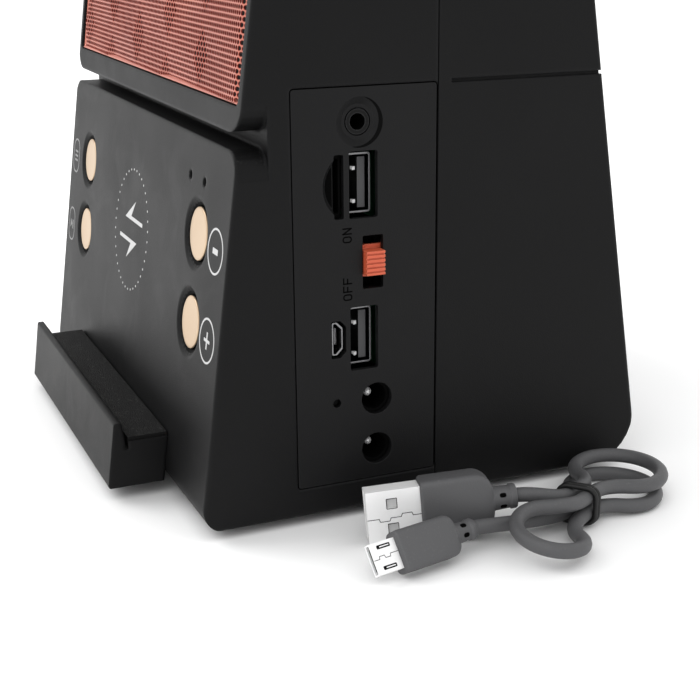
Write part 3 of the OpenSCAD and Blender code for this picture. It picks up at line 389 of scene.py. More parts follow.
# Dark red-brown for the walls of the grille's holes: painted shade inside the holes, not the sheet's own
# colour.
HOLE_COPPER_PAINTED_SHADE = finish_material(
    "hole copper painted shade", (0.2, 0.02, 0.013), 0.6, specular=0.1, grain=(2600, 0.5), edge=0.00004, dust=0.0)
SKIRT_BLACK = finish_material("skirt black", grey(0.002), 0.5, specular=0.1, edge=0.0002, dust=0.0)
PAD_BLACK = finish_material(
    "pad black", grey(0.0028), 0.62, specular=0.14, grain=(2600, 1), bump=0.0003, edge=0.0003, dust=0.12,
    smudges=0.1)
LED_WARM = finish_material("led warm", (0.8, 0.74, 0.5), 0.25, edge=0.0002, dust=0.0)
# Jack black: its edges are lightened to a grey line, a painted highlight, and its faces that don't look out
# of the port side are darker still, as painted shade.
JACK_BLACK = finish_material(
    "jack black", (0.0022, 0.0022, 0.0023), 0.5, specular=0.14, edge=0.0003, edge_wear_and_highlight=(0.05, 0.05, 0.052),
    dust=0.0, inside_shade=grey(0.001))
OWN_FINISH = {"aux_jack": JACK_BLACK, "usb_tongues": TONGUE_GREY, "dc_pins": PALE_PIN_PAINTED_GLINT,
              "ledge_pad": PAD_BLACK, "torch_led": LED_WARM, "card_socket": FINISHES["socket_black"]}
for entry in frame["record"]["subparts"]:
    solid = frame["nodes"][entry["node"]]
    solid.data.materials.clear()
    solid.data.materials.append(OWN_FINISH.get(entry["node"], FINISHES[entry["material_slot"]]))

# Helpers for the pieces made here.
# A print or line is a thin prism that starts SUNK below its face.
SUNK = 0.02
SHARP_ANGLE = math.radians(35)


def new_piece(name, shape, material, at=None, smooth=False, stands_for=(), body="case"):
    """An object from vertices and faces, in metres or in the millimetres of the matrix at."""
    verts, faces = shape
    mesh = bpy.data.meshes.new(name)
    mesh.from_pydata([tuple(at @ Vector(v)) if at else tuple(v) for v in verts], [], faces)
    mesh.validate()
    work = bmesh.new()
    work.from_mesh(mesh)
    bmesh.ops.recalc_face_normals(work, faces=work.faces)
    work.to_mesh(mesh)
    work.free()
    mesh.materials.append(material)
    for face in mesh.polygons:
        face.use_smooth = smooth
    if smooth:
        mesh.set_sharp_from_angle(angle=SHARP_ANGLE)
    piece = bpy.data.objects.new(name, mesh)
    bpy.context.scene.collection.objects.link(piece)
    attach(piece, body)
    if stands_for:
        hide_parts(*stands_for)
    return piece


def joined(*shapes):
    verts, faces = [], []
    for shape_verts, shape_faces in shapes:
        start = len(verts)
        verts += shape_verts
        faces += [tuple(start + i for i in face) for face in shape_faces]
    return verts, faces


def shifted(shape, matrix):
    verts, faces = shape
    return [tuple(matrix @ Vector(v)) for v in verts], faces


def loft(sections, capped=True):
    """Skin over closed sections that have the same number of points."""
    count = len(sections[0])
    verts = [point for section in sections for point in section]
    faces = []
    for k in range(len(sections) - 1):
        a, b = k * count, (k + 1) * count
        faces += [(a + i, a + (i + 1) % count, b + (i + 1) % count, b + i) for i in range(count)]
    if capped:
        faces.append(tuple(range(count - 1, -1, -1)))
        faces.append(tuple(range(len(verts) - count, len(verts))))
    return verts, faces


def circle(x, y, r, count):
    turns = [math.tau * i / count for i in range(count)]
    return [(x + r * math.cos(a), y + r * math.sin(a)) for a in turns]


def lathe(profile, sides, capped=True):
    """Turned shape of (radius, height) points round the third axis."""
    return loft([[(x, y, h) for x, y in circle(0, 0, r, sides)] for r, h in profile], capped)


def along_second(shape):
    """The same shape with its third axis laid along the second."""
    verts, faces = shape
    return [(x, z, y) for x, y, z in verts], faces


def bar(outline, stations):
    """Bar with one outline, laid along the second axis."""
    return loft([[(x, y, z) for x, z in outline] for y in stations])


def raised(outlines, height):
    """Closed prisms on flat outlines, from just below the face to the given height."""
    return joined(*[loft([[(x, y, -SUNK) for x, y in line], [(x, y, height) for x, y in line]])
                    for line in outlines])


def raised_band(outer, inner, height):
    """A closed band between two outlines with the same number of points."""
    rings = [[(x, y, -SUNK) for x, y in outer], [(x, y, height) for x, y in outer],
             [(x, y, height) for x, y in inner], [(x, y, -SUNK) for x, y in inner]]
    return loft(rings + rings[:1], capped=False)


def rounded_box(x, y, half_x, half_y, r, steps=4):
    """Outline of a box with round corners."""
    points = []
    for corner, (sx, sy) in enumerate(((1, 1), (-1, 1), (-1, -1), (1, -1))):
        for i in range(steps + 1):
            a = math.pi / 2 * (corner + i / steps)
            points.append((x + sx * (half_x - r) + r * math.cos(a), y + sy * (half_y - r) + r * math.sin(a)))
    return points


def strokes(points, width):
    """Outlines of the straight strokes of a drawn line."""
    outlines = []
    for (ax, ay), (bx, by) in zip(points, points[1:]):
        half = width / 2 / math.hypot(bx - ax, by - ay)
        dx, dy = (bx - ax) * half, (by - ay) * half
        outlines.append([(ax - dx + dy, ay - dy - dx), (bx + dx + dy, by + dy - dx),
                         (bx + dx - dy, by + dy + dx), (ax - dx - dy, ay - dy + dx)])
    return outlines


# Cable: the route in the solid's own formula, with FINE times its rings
CABLE_D, LOOP_R, LOOP_REACH, FOLD_R = 3.4, 10.2, 5, 7.4
TIE_AT, TIE_T = (100.8, 24), 1.2
STRAND = CABLE_D + 0.6
TIE_LOW = TIE_T + 0.4 + CABLE_D / 2
TIE_SAG = TIE_LOW - CABLE_D / 2 - 0.1
HANK_TURN, FOLD_FLARE, FOLD_REACH, FOLD_LIFT = 31, 10, 3, 2.5
LOWER_LOOP_REACH = LOOP_REACH - 2.5
FINE = 3
LEAD_RINGS, OPENING_RINGS, BEND_RINGS = 8 * FINE, 5 * FINE, 13 * FINE
# how strongly each lead keeps its direction at the plugs and at the tie
USB_PULL, TIE_IN_PULL, TIE_OUT_PULL, MICRO_PULL = 15, 15, 24, 12
# plugs: the place of each grip's front, its turns in degrees, and the lengths of grip and strain relief
USB_AT, USB_TURN, USB_TILT, USB_ROLL = (92.5, -12.1, 7.3), -15, 4.5, -4.6
USB_LEN, USB_RELIEF_LEN, USB_RELIEF_R = 16.5, 5.5, 2.9
MICRO_AT, MICRO_TURN, MICRO_TILT, MICRO_ROLL = (106.85, -24.6, 5.35), 11.5, 0, -36.4
MICRO_LEN, MICRO_RELIEF_LEN, MICRO_RELIEF_R = 15.2, 5.5, 2.45


def turned(v, degrees):
    """A vector turned about the vertical."""
    a = math.radians(degrees)
    return Vector((v[0] * math.cos(a) - v[1] * math.sin(a), v[0] * math.sin(a) + v[1] * math.cos(a), v[2]))


USB_DIR = turned((0, math.cos(math.radians(USB_TILT)), math.sin(math.radians(USB_TILT))), USB_TURN)
MICRO_DIR = turned((0, 1, 0), MICRO_TURN)
HANK_DIR = turned((0, 1, 0), HANK_TURN)


def ease(t):
    """Smooth step from 0 to 1."""
    return t * t * (3 - 2 * t)


def loop_points(r, flare, reach, start, end, side, way, lift):
    """A loop from one place in the tie to the next: it opens on arcs, goes round and closes again."""
    half, mid = abs(start[0] - end[0]) / 2, (start[0] + end[0]) / 2
    rise = math.sqrt((r + flare) ** 2 - (half + flare) ** 2)
    sweep = math.asin(rise / (r + flare))
    straight = [(half, reach * i / FINE) for i in range(FINE)]
    flares = [sweep * i / OPENING_RINGS for i in range(OPENING_RINGS + 1)]
    opening = [(half + flare - flare * math.cos(a), reach + flare * math.sin(a)) for a in flares]
    bends = [-sweep + (math.pi + 2 * sweep) * i / BEND_RINGS for i in range(1, BEND_RINGS)]
    bend = [(r * math.cos(a), reach + rise + r * math.sin(a)) for a in bends]
    closing = [(-x, y) for x, y in opening[:0:-1]]
    line = straight + opening + bend + closing
    points = []
    for i, (x, y) in enumerate(line):
        s = ease(i / len(line))
        drop = lift * (1 - s) - TIE_SAG * s if lift > 0 else -TIE_SAG
        height = start[1] * (1 - s) + end[1] * s + ease(min(1, y / (reach + rise))) * drop
        flat = turned((side * x + mid, way * y, 0), HANK_TURN)
        points.append(Vector((TIE_AT[0] + flat.x, TIE_AT[1] + flat.y, height)))
    return points


def lead_points(start, leaving, end, arriving, count):
    """A smooth curve between two points, with a given direction at each."""
    points = []
    for i in range(count):
        t = i / count
        points.append(start * (1 - ease(t)) + leaving * t * (1 - t) ** 2
                      + end * t * t * (3 - 2 * t) - arriving * t * t * (1 - t))
    return points


def cable_route():
    far_high, near_high = (-STRAND / 2, TIE_LOW + STRAND), (STRAND / 2, TIE_LOW + STRAND)
    near_low, far_low = (STRAND / 2, TIE_LOW), (-STRAND / 2, TIE_LOW)
    usb_end = Vector(USB_AT) + (USB_LEN + USB_RELIEF_LEN) * USB_DIR
    micro_end = Vector(MICRO_AT) + (MICRO_LEN + MICRO_RELIEF_LEN) * MICRO_DIR
    tie = Vector((*TIE_AT, 0))
    tie_in = tie + turned((far_high[0], 0, far_high[1]), HANK_TURN)
    tie_out = tie + turned((far_low[0], 0, far_low[1]), HANK_TURN)
    points = lead_points(usb_end, USB_PULL * USB_DIR, tie_in, TIE_IN_PULL * HANK_DIR, LEAD_RINGS)
    points += loop_points(LOOP_R, LOOP_R, LOOP_REACH, far_high, near_high, -1, 1, 0)
    points += loop_points(FOLD_R, FOLD_FLARE, FOLD_REACH, near_high, near_low, -1, -1, FOLD_LIFT)
    points += loop_points(LOOP_R, LOOP_R, LOWER_LOOP_REACH, near_low, far_low, 1, 1, 0)
    points += lead_points(tie_out, -TIE_OUT_PULL * HANK_DIR, micro_end, -MICRO_PULL * MICRO_DIR,
                          2 * LEAD_RINGS)
    points.append(micro_end)
    return [in_metres(*p) for p in points]


def make_cable():
    route = cable_route()
    length = sum((b - a).length for a, b in zip(route, route[1:]))
    data = bpy.data.curves.new("charging_cable", "CURVE")
    data.dimensions = "3D"
    data.bevel_depth = CABLE_D / 2 * MM
    data.bevel_resolution = 5
    data.use_fill_caps = True
    line = data.splines.new("POLY")
    line.points.add(len(route) - 1)
    for point, at in zip(line.points, route):
        point.co = (*at, 1)
    line.use_smooth = True
    data.materials.append(FINISHES["cord_grey"])
    cable = bpy.data.objects.new("charging_cable", data)
    bpy.context.scene.collection.objects.link(cable)
    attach(cable, "case")
    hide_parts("cable")
    return cable, route, length


# What is on the cable: moulded grips, the tie and the plugs' fittings
def plug_place(at, turn, tilt, roll):
    """Matrix of a plug: its second axis towards the cable, its third along its height."""
    turns = [Matrix.Rotation(math.radians(a), 4, axis) for a, axis in ((turn, "Z"), (tilt, "X"), (roll, "Y"))]
    return Matrix.Translation(in_metres(*at)) @ turns[0] @ turns[1] @ turns[2] @ Matrix.Scale(MM, 4)


USB_PLACE = plug_place(USB_AT, USB_TURN, USB_TILT, USB_ROLL)
MICRO_PLACE = plug_place(MICRO_AT, MICRO_TURN, MICRO_TILT, MICRO_ROLL)
RELIEF_SIDES, SHOULDER_STEPS = 28, 8
WIRE_R, WIRE_SIDES = 0.6, 10
WIRE_APART, WIRE_SLANT, WIRE_CORNER = 0.62, 0.22, 2.3
# half thickness of the plugs' metal shells, and the height of the lines on them
USB_SHELL_HALF, MICRO_SHELL_HALF, LINE_HEIGHT = 2.25, 0.9, 0.012
# from a drawing's plane to a plug: along it, up it, and out of its wide face or into it
OUT_OF_PLUG = Matrix(((0, 0, 1, 0), (1, 0, 0, 0), (0, 1, 0, 0), (0, 0, 0, 1)))
INTO_PLUG = Matrix(((0, 0, -1, 0), (1, 0, 0, 0), (0, 1, 0, 0), (0, 0, 0, 1)))


def grip_shape(length, half_x, half_z, shoulder, edge, relief_r, relief_len):
    """Moulded grip with round shoulders, and its tapered strain relief with an end collar."""
    sizes = [(0, half_x - edge * 0.7, half_z - edge * 0.7),
             (edge * 0.3, half_x - edge * 0.25, half_z - edge * 0.25),
             (edge, half_x, half_z), (length - shoulder, half_x, half_z)]
    for i in range(1, SHOULDER_STEPS + 1):
        a = math.pi / 2 * i / SHOULDER_STEPS
        sizes.append((length - shoulder + shoulder * math.sin(a), half_x - edge * (1 - math.cos(a)) ** 2,
                      half_z - shoulder * (1 - math.cos(a))))
    sections = []
    for y, hx, hz in sizes:
        outline = rounded_box(0, 0, hx, hz, min(edge * 1.6, hx * 0.9, hz * 0.9))
        sections.append([(x, y, z) for x, z in outline])
    end, collar_r = length + relief_len, relief_r - 0.05
    sleeve = [(relief_r, length - 0.6), (relief_r, length + 0.3), (relief_r - 0.12, length + 0.6),
              (relief_r - 0.3, end - 1.7), (collar_r, end - 1.45), (collar_r, end - 0.5),
              (relief_r - 0.25, end - 0.1), (CABLE_D / 2 + 0.02, end)]
    return joined(loft(sections), along_second(lathe(sleeve, RELIEF_SIDES)))


def relief_slots(length, relief_r):
    """Two short slots on each side of a strain relief, as black patches that are painted shade of the slots.
    """
    half_long, half_wide, corner, height = 0.75, 0.5, 0.45, 0.06
    inwards, behind, apart = 0.2, 2.1, 0.5
    slots = []
    for side in (0, math.pi):
        for angle in (side - apart, side + apart):
            out = Vector((math.cos(angle), 0, math.sin(angle)))
            turn = Matrix((Y_AXIS, out.cross(Y_AXIS), out)).transposed().to_4x4()
            at = Matrix.Translation(out * (relief_r - inwards) + Vector((0, length + behind, 0))) @ turn
            slots.append(shifted(raised([rounded_box(0, 0, half_long, half_wide, corner)], height), at))
    return joined(*slots)


def wire_ring(points):
    """Closed tube along points that go round the strands."""
    count, rings = len(points), []
    for i, point in enumerate(points):
        heading = (points[(i + 1) % count] - points[i - 1]).normalized()
        out = HANK_DIR.cross(heading).normalized()
        flat = heading.cross(out)
        rings.append([point + WIRE_R * (c * out + s * flat) for c, s in circle(0, 0, 1, WIRE_SIDES)])
    return loft(rings + rings[:1], capped=False)


def tie_shape():
    """Two turns of a thin tie round the four strands."""
    across = turned((1, 0, 0), HANK_TURN)
    middle = Vector((*TIE_AT, TIE_LOW + STRAND / 2))
    half = STRAND / 2 + CABLE_D / 2 + WIRE_R
    outline = rounded_box(0, 0, half, half, WIRE_CORNER, 8)
    rings = []
    for offset in (-WIRE_APART, WIRE_APART):
        rings.append(wire_ring([middle + x * across + z * Z_AXIS + (offset + WIRE_SLANT * x) * HANK_DIR
                                for x, z in outline]))
    verts, faces = joined(*rings)
    return [in_metres(*v) for v in verts], faces


def make_grips_and_tie():
    usb = grip_shape(USB_LEN, half_x=3.3, half_z=7, shoulder=4.5, edge=0.8,
                     relief_r=USB_RELIEF_R, relief_len=USB_RELIEF_LEN)
    micro = grip_shape(MICRO_LEN, half_x=2.5, half_z=4.6, shoulder=2.4, edge=0.7,
                       relief_r=MICRO_RELIEF_R, relief_len=MICRO_RELIEF_LEN)
    usb_slots = relief_slots(USB_LEN, USB_RELIEF_R)
    micro_slots = relief_slots(MICRO_LEN, MICRO_RELIEF_R)
    grey_cord, slot = FINISHES["cord_grey"], "cord_grey"
    return [
        new_piece("usb_grip", usb, grey_cord, USB_PLACE, True, ["usb_plug_grip"]),
        new_piece("micro_grip", micro, grey_cord, MICRO_PLACE, True, ["micro_plug_grip"]),
        new_piece("usb_relief_slot_shade", usb_slots, MARK_BLACK, USB_PLACE),
        new_piece("micro_relief_slot_shade", micro_slots, MARK_BLACK, MICRO_PLACE),
        new_piece("wire_tie", tie_shape(), FINISHES["tie_black"], smooth=True,
                  stands_for=["cable_tie"]),
    ]


def plug_fitting(name, shape, material, at):
    return new_piece(name, shape, material, at)


def make_usb_fittings():
    """The large plug's tongue and contacts, seen through the shell's holes, the seam line on the shell, and
    black edges round the holes, which are painted shade.
    """
    tongue_half, tongue_wide, tongue_stations = 0.9, 5.5, (-11.4, -11.2, -0.2)
    contact_y, contact_z, contact_half, contact_wide = -7.6, (-3.5, -1, 1, 3.5), 3.2, 0.5
    tongue = bar(rounded_box(tongue_half, 0, tongue_half, tongue_wide, 0.2), tongue_stations)
    contact = raised([rounded_box(0, 0, contact_half, contact_wide, 0.15)], 0.05)
    contacts = [shifted(contact, Matrix.Translation((-SUNK, contact_y, z)) @ INTO_PLUG) for z in contact_z]
    on_shell = Matrix.Translation((USB_SHELL_HALF, 0, 0)) @ OUT_OF_PLUG
    # folded seam with two locked teeth
    seam = strokes([(-12.1, -0.4), (-9.6, -0.4), (-9.3, -1.1), (-7.2, -1.1), (-6.9, -0.4), (-4.6, -0.4),
                    (-4.3, 0.3), (-2.2, 0.3), (-1.9, -0.4), (-0.1, -0.4)], 0.16)
    # black edges round the shell's two holes: painted shade of the holes' walls
    hole_y, hole_z, hole_half, edge_half = -6.5, 2.9, 1.08, 1.24
    edges = [raised_band(rounded_box(hole_y, z, edge_half, edge_half, 0.2),
                         rounded_box(hole_y, z, hole_half, hole_half, 0.1), LINE_HEIGHT)
             for z in (-hole_z, hole_z)]
    return [
        plug_fitting("usb_plug_tongue", tongue, PLUG_INSERT, USB_PLACE),
        plug_fitting("usb_plug_contacts", joined(*contacts), FINISHES["button_gold"], USB_PLACE),
        plug_fitting("usb_plug_seam", shifted(raised(seam, LINE_HEIGHT), on_shell), MARK_BLACK, USB_PLACE),
        plug_fitting("usb_plug_hole_shade", shifted(joined(*edges), on_shell), MARK_BLACK, USB_PLACE),
    ]


def make_micro_fittings():
    """The small plug's seam, its catches with their springs, and its tongue."""
    on_shell = Matrix.Translation((MICRO_SHELL_HALF, 0, 0)) @ OUT_OF_PLUG
    seam = strokes([(-6.3, -0.2), (-5, -0.2), (-4.8, 0.4), (-3.6, 0.4), (-3.4, -0.2), (-2.2, -0.2),
                    (-2, 0.4), (-0.1, 0.4)], 0.14)
    catch_y, catch_z, catch_half, catch_wide = -3.1, (-2.2, 2.3), 1.7, 0.42
    spring_y, spring_half, spring_wide, spring_height = -2.9, 1.2, 0.12, 0.03
    catches = [rounded_box(catch_y, z, catch_half, catch_wide, 0.2) for z in catch_z]
    springs = [rounded_box(spring_y, z, spring_half, spring_wide, 0.1) for z in catch_z]
    on_back = Matrix.Rotation(math.pi, 4, "Y")
    lines = joined(shifted(raised(seam + catches, LINE_HEIGHT), on_shell),
                   shifted(shifted(raised(catches, LINE_HEIGHT), on_shell), on_back))
    tongue = bar(rounded_box(-0.25, 0, 0.3, 2.5, 0.1), (-5.9, -0.2))
    return [
        plug_fitting("micro_plug_slots", lines, MARK_BLACK, MICRO_PLACE),
        plug_fitting("micro_plug_springs", shifted(raised(springs, spring_height), on_shell),
                     FINISHES["plug_metal"], MICRO_PLACE),
        plug_fitting("micro_plug_tongue", tongue, FINISHES["socket_black"], MICRO_PLACE),
    ]


cable, route, cable_length = make_cable()
cable_pieces = make_grips_and_tie() + make_usb_fittings() + make_micro_fittings()

# Speaker grille: a perforated sheet pressed into long facets.
# x runs across the sheet and v up along it, from GRILLE_Z on the front face.
GRILLE_Z, GRILLE_TALL, GRILLE_EDGE = 95.4, 54.5, 0.3
GRILLE_HALF, GRILLE_TAPER, GRILLE_CORNER = 71.385, 0.955, 1.2
SHEET_TOP, SHEET_LOW, SHEET_T = -0.03, -1.1, 0.25
HOLE_STEP, HOLE_X, HOLE_V, HOLE_POINTS = 1.36, 0.61, 0.5, 12
CELL_R = HOLE_STEP / math.sqrt(3)
ROW_STEP, FIRST_ROW, SIDE_MARGIN = 1.5 * CELL_R, 0.85, 0.75
# folds run up the sheet, and each has diamond facets one above the other
FOLD_STEP, FOLD_LAST, FOLD_DEEP = 26.8, 42.2, 1.07
FACET_STEP, FACET_FIRST, FACET_HALF, FACET_WIDE = 16.4, 7.9, 7.0, 3.6
# the sheet bends down at its sides and, less, at its ends
SIDE_BEND, SIDE_RUN, END_BEND, END_DROP = 2.7, 2.1, 0.9, 0.35
# rim: how far each ring is inside the outline, and its level; rings above RIM_FLOOR rise along the lower edge
RIM_RINGS = ((0, -1.2), (0, -0.85), (0.1, -0.74), (0.35, -0.72), (0.55, -0.9), (1.0, -1.14), (1.0, -1.2),
             (0, -1.2))
RIM_FLOOR, RIM_RISE = -1.1, 0.4


def share(value):
    """The value, kept within 0 and 1."""
    return min(1, max(0, value))


def grille_half(v):
    return GRILLE_HALF - (v - GRILLE_EDGE) / GRILLE_TALL * GRILLE_TAPER


def nearest_fold(x):
    """Number of the fold nearest to a place across the sheet, and how far the place is from it."""
    fold = min(math.floor((x - FOLD_LAST) / FOLD_STEP + 0.5), 0)
    return fold, x - FOLD_LAST - fold * FOLD_STEP


def facet_share(fold, v):
    """How wide a fold's pressed facet is at a height on the sheet, from 0 at its tips to 1 at its middle."""
    first = FACET_FIRST + (FACET_STEP / 2 if fold % 2 else 0)
    off = abs((v - first + FACET_STEP / 2) % FACET_STEP - FACET_STEP / 2)
    return max(0, 1 - off / FACET_HALF)


def on_facet(x, v):
    fold, d = nearest_fold(x)
    return abs(d) <= FACET_WIDE * facet_share(fold, v)


def grille_height(x, v):
    """Level of the sheet's face: diamond facets that look to the right, and slow slopes between them."""
    fold, d = nearest_fold(x)
    here = facet_share(fold, v)
    if abs(d) <= FACET_WIDE * here:
        level = -d / FACET_WIDE
    else:
        way = 1 if d > 0 else -1
        there = facet_share(fold + way, v) if fold + way <= 0 else 1
        run = FOLD_STEP - FACET_WIDE * (here + there)
        level = way * (min(1, (abs(d) - FACET_WIDE * here) / run) * (here + there) - here)
    side = share((SIDE_BEND - grille_half(v) + abs(x)) / SIDE_RUN)
    ends = share((END_BEND - min(v - GRILLE_EDGE, GRILLE_EDGE + GRILLE_TALL - v)) / END_BEND)
    return max(SHEET_TOP - FOLD_DEEP * (1 - level) / 2 - side - END_DROP * ends ** 2, SHEET_LOW)


def grille_outline(inset):
    """Sloping outline of the sheet with round corners, taken inwards."""
    low, high = GRILLE_EDGE + inset, GRILLE_EDGE + GRILLE_TALL - inset
    r, steps = max(GRILLE_CORNER - inset, 0.3), 5
    points = []
    for corner, (sx, v) in enumerate(((1, high), (-1, high), (-1, low), (1, low))):
        cx, cy = sx * (grille_half(v) - inset - r), v + (r if v == low else -r)
        turns = [math.pi / 2 * (corner + i / steps) for i in range(steps + 1)]
        points += [(cx + r * math.cos(a), cy + r * math.sin(a)) for a in turns]
    return points


def hole_middles():
    """Places of the holes, in rows that are set off by half a step."""
    rows = int((GRILLE_TALL - 2 * FIRST_ROW) / ROW_STEP)
    for row in range(rows + 1):
        v = GRILLE_EDGE + FIRST_ROW + row * ROW_STEP
        reach = grille_half(v) - SIDE_MARGIN
        columns = int(reach / HOLE_STEP) + 1
        for column in range(-columns, columns + 1):
            x = HOLE_STEP * (column + 0.5 * (row % 2))
            if abs(x) <= reach:
                yield x, v


def grille_shapes():
    """The sheet of six-sided cells round its holes, the holes' walls, and which faces lie on a facet."""
    verts, faces, shared, pressed = [], [], {}, []
    wall_verts, wall_faces = [], []
    corners = [(math.cos(math.radians(90 + 60 * k)), math.sin(math.radians(90 + 60 * k))) for k in range(6)]

    def corner_vertex(x, v):
        """The vertex of a cell's corner, which the cells that meet there share."""
        key = (round(x * 200), round(v * 200))
        if key not in shared:
            shared[key] = len(verts)
            verts.append((x, v, grille_height(x, v)))
        return shared[key]

    for x, v in hole_middles():
        outer = [corner_vertex(x + CELL_R * cx, v + CELL_R * cy) for cx, cy in corners]
        start, top = len(verts), len(wall_verts)
        low = top + HOLE_POINTS
        rim = [(x + HOLE_X * a, v + HOLE_V * b) for a, b in circle(0, 0, 1, HOLE_POINTS)]
        verts += [(a, b, grille_height(a, b)) for a, b in rim]
        wall_verts += [(a, b, grille_height(a, b)) for a, b in rim]
        wall_verts += [(a, b, grille_height(a, b) - SHEET_T) for a, b in rim]
        for k in range(6):
            near = [start + (2 * k + step) % HOLE_POINTS for step in (5, 4, 3)]
            faces.append((outer[k], outer[(k + 1) % 6], *near))
            pressed.append(on_facet(x, v))
        for k in range(HOLE_POINTS):
            after = (k + 1) % HOLE_POINTS
            wall_faces.append((top + k, top + after, low + after, low + k))
    return (verts, faces), (wall_verts, wall_faces), pressed


def rim_ring(inset, level):
    ring = []
    for x, v in grille_outline(inset):
        lower_edge = v < GRILLE_EDGE + inset + 0.01
        ring.append((x, v, level + RIM_RISE if lower_edge and RIM_FLOOR < level else level))
    return ring


def make_grille():
    at, copper, slot = on_front(0, GRILLE_Z), FINISHES["grille_copper"], "grille_copper"
    sheet, walls, pressed = grille_shapes()
    piece = new_piece("pressed_grille", sheet, copper, at, stands_for=["speaker_grille"])
    # faces on a facet take the darker copy of the copper: painted shade
    piece.data.materials.append(FACET_COPPER_PAINTED_SHADE)
    for face, on_a_facet in zip(piece.data.polygons, pressed):
        face.material_index = int(on_a_facet)
    # the holes' walls are dark: painted shade
    new_piece("grille_hole_walls", walls, HOLE_COPPER_PAINTED_SHADE, at)
    rim = loft([rim_ring(inset, level) for inset, level in RIM_RINGS], capped=False)
    new_piece("grille_rim", rim, copper, at)


make_grille()

# Push buttons: a dark skirt with its flange and stem, and a plated cap with a slightly hollow face
BUTTON_X, BUTTON_UPPER_Z, BUTTON_LOWER_Z = 52.4, 65, 44.6
BUTTON_R, BUTTON_SINK, BUTTON_STEM = 6.1, 0.5, 5.7
TORCH_BUTTON_AT, TORCH_BUTTON_R, TORCH_BUTTON_STEM = (46, -11.25, 200), 7, 6.9
STEM_R, FLANGE_WIDE, FLANGE_TOP, FLANGE_LOW = 2, 1.2, -2.9, -4.1
TURNED_SIDES = 64


def make_button(name, at, r, sink, stem):
    """A button's cap and skirt, measured down from the face that it works in."""
    face, top, flange_r = -sink, r - 0.02, r + FLANGE_WIDE
    cap = [(top - 0.5, face - 0.45), (top, face - 0.4), (top, face - 0.16), (top - 0.06, face - 0.06),
           (top - 0.2, face), (top - 0.7, face), (top * 0.6, face - 0.05), (top * 0.3, face - 0.08),
           (0.2, face - 0.09)]
    skirt = [(STEM_R, -stem), (STEM_R, FLANGE_LOW), (flange_r, FLANGE_LOW), (flange_r, FLANGE_TOP),
             (r, FLANGE_TOP), (r, face - 0.55), (r - 0.12, face - 0.42), (r - 0.5, face - 0.42)]
    gold, slot = FINISHES["button_gold"], "button_gold"
    new_piece(name + "_cap", lathe(cap, TURNED_SIDES), gold, at, True, [name], body=name)
    new_piece(name + "_skirt", lathe(skirt, TURNED_SIDES), SKIRT_BLACK, at, True, body=name)


def make_buttons():
    for name, x, z in (("mode_button", -BUTTON_X, BUTTON_UPPER_Z), ("play_button", -BUTTON_X, BUTTON_LOWER_Z),
                       ("minus_button", BUTTON_X, BUTTON_UPPER_Z), ("plus_button", BUTTON_X, BUTTON_LOWER_Z)):
        make_button(name, on_front(x, z), BUTTON_R, BUTTON_SINK, BUTTON_STEM)
    on_top = place(in_metres(*TORCH_BUTTON_AT), X_AXIS, Y_AXIS, Z_AXIS)
    make_button("torch_button", on_top, TORCH_BUTTON_R, 0, TORCH_BUTTON_STEM)


make_buttons()

# Painted shade on the inner half of the round dips that the front buttons sit in, as dark thin linings of
# their cones
DIP_R, DIP_SLOPE = 8.4, 0.6
LINING_TOP, LINING_LOW = 0.02, -0.01


def make_button_dip_shades():
    for name, material, near, far in (("button_dip_inner_shade", FINISHES["socket_black"], 6.42, 7.2),
                                      ("button_dip_outer_shade", SKIRT_BLACK, 7.2, 7.7)):
        section = [(near, LINING_TOP), (far, LINING_TOP), (far, LINING_LOW), (near, LINING_LOW)]
        profile = [(r, DIP_SLOPE * (r - DIP_R) + up) for r, up in section + section[:1]]
        lining = lathe(profile, TURNED_SIDES, capped=False)
        rings = [shifted(lining, on_front(x, z))
                 for x in (-BUTTON_X, BUTTON_X) for z in (BUTTON_UPPER_Z, BUTTON_LOWER_Z)]
        new_piece(name, joined(*rings), material, smooth=True)


make_button_dip_shades()

# Prints on the front
PRINT_HEIGHT = 0.025
CHARGING_MARK_X, CHARGING_MARK_Z = -1.5, 54.8
RINGS_X, MINUS_Z, PLUS_Z = 66.6, 64, 44.1
MODE_MARK_X, MODE_MARK_Z = -68.4, 63.8
PLAY_MARK_X, PLAY_MARK_Z = -68.6, 43


def front_print(name, shape, material, x, z):
    new_piece(name, shape, material, on_front(x, z))


def make_charging_mark():
    """A flash of two halves in a dotted circle."""
    ring_r, dot_r, count = 15.7, 0.3, 38
    dots = [circle(x, y, dot_r, 10) for x, y in circle(0, 0, ring_r, count)]
    half = [(-6.2, 2.5), (10.3, 2.5), (10.3, 3.5), (-0.6, 3.5), (2.8, 7.9)]
    bolt = [half, [(-x, -y) for x, y in half]]
    front_print("charging_mark", raised(dots + bolt, PRINT_HEIGHT), PRINT_WHITE, CHARGING_MARK_X,
                CHARGING_MARK_Z)


def make_ringed_marks():
    """Minus and plus in their rings."""
    outer_r, inner_r, sides = 5.15, 4.67, 48
    ring = raised_band(circle(0, 0, outer_r, sides), circle(0, 0, inner_r, sides), PRINT_HEIGHT)
    bar_half, bar_thick = 1.7, 0.65
    minus = raised([rounded_box(0, 0, bar_half, bar_thick, 0.1)], PRINT_HEIGHT)
    front_print("minus_mark", joined(ring, minus), PRINT_WHITE, RINGS_X, MINUS_Z)
    arm, line = 1.95, 0.36
    half = [(line, arm), (-line, arm), (-line, line), (-arm, line), (-arm, -line), (-line, -line)]
    plus = raised([half + [(-x, -y) for x, y in half]], PRINT_HEIGHT)
    front_print("plus_mark", joined(ring, plus), PRINT_WHITE, RINGS_X, PLUS_Z)


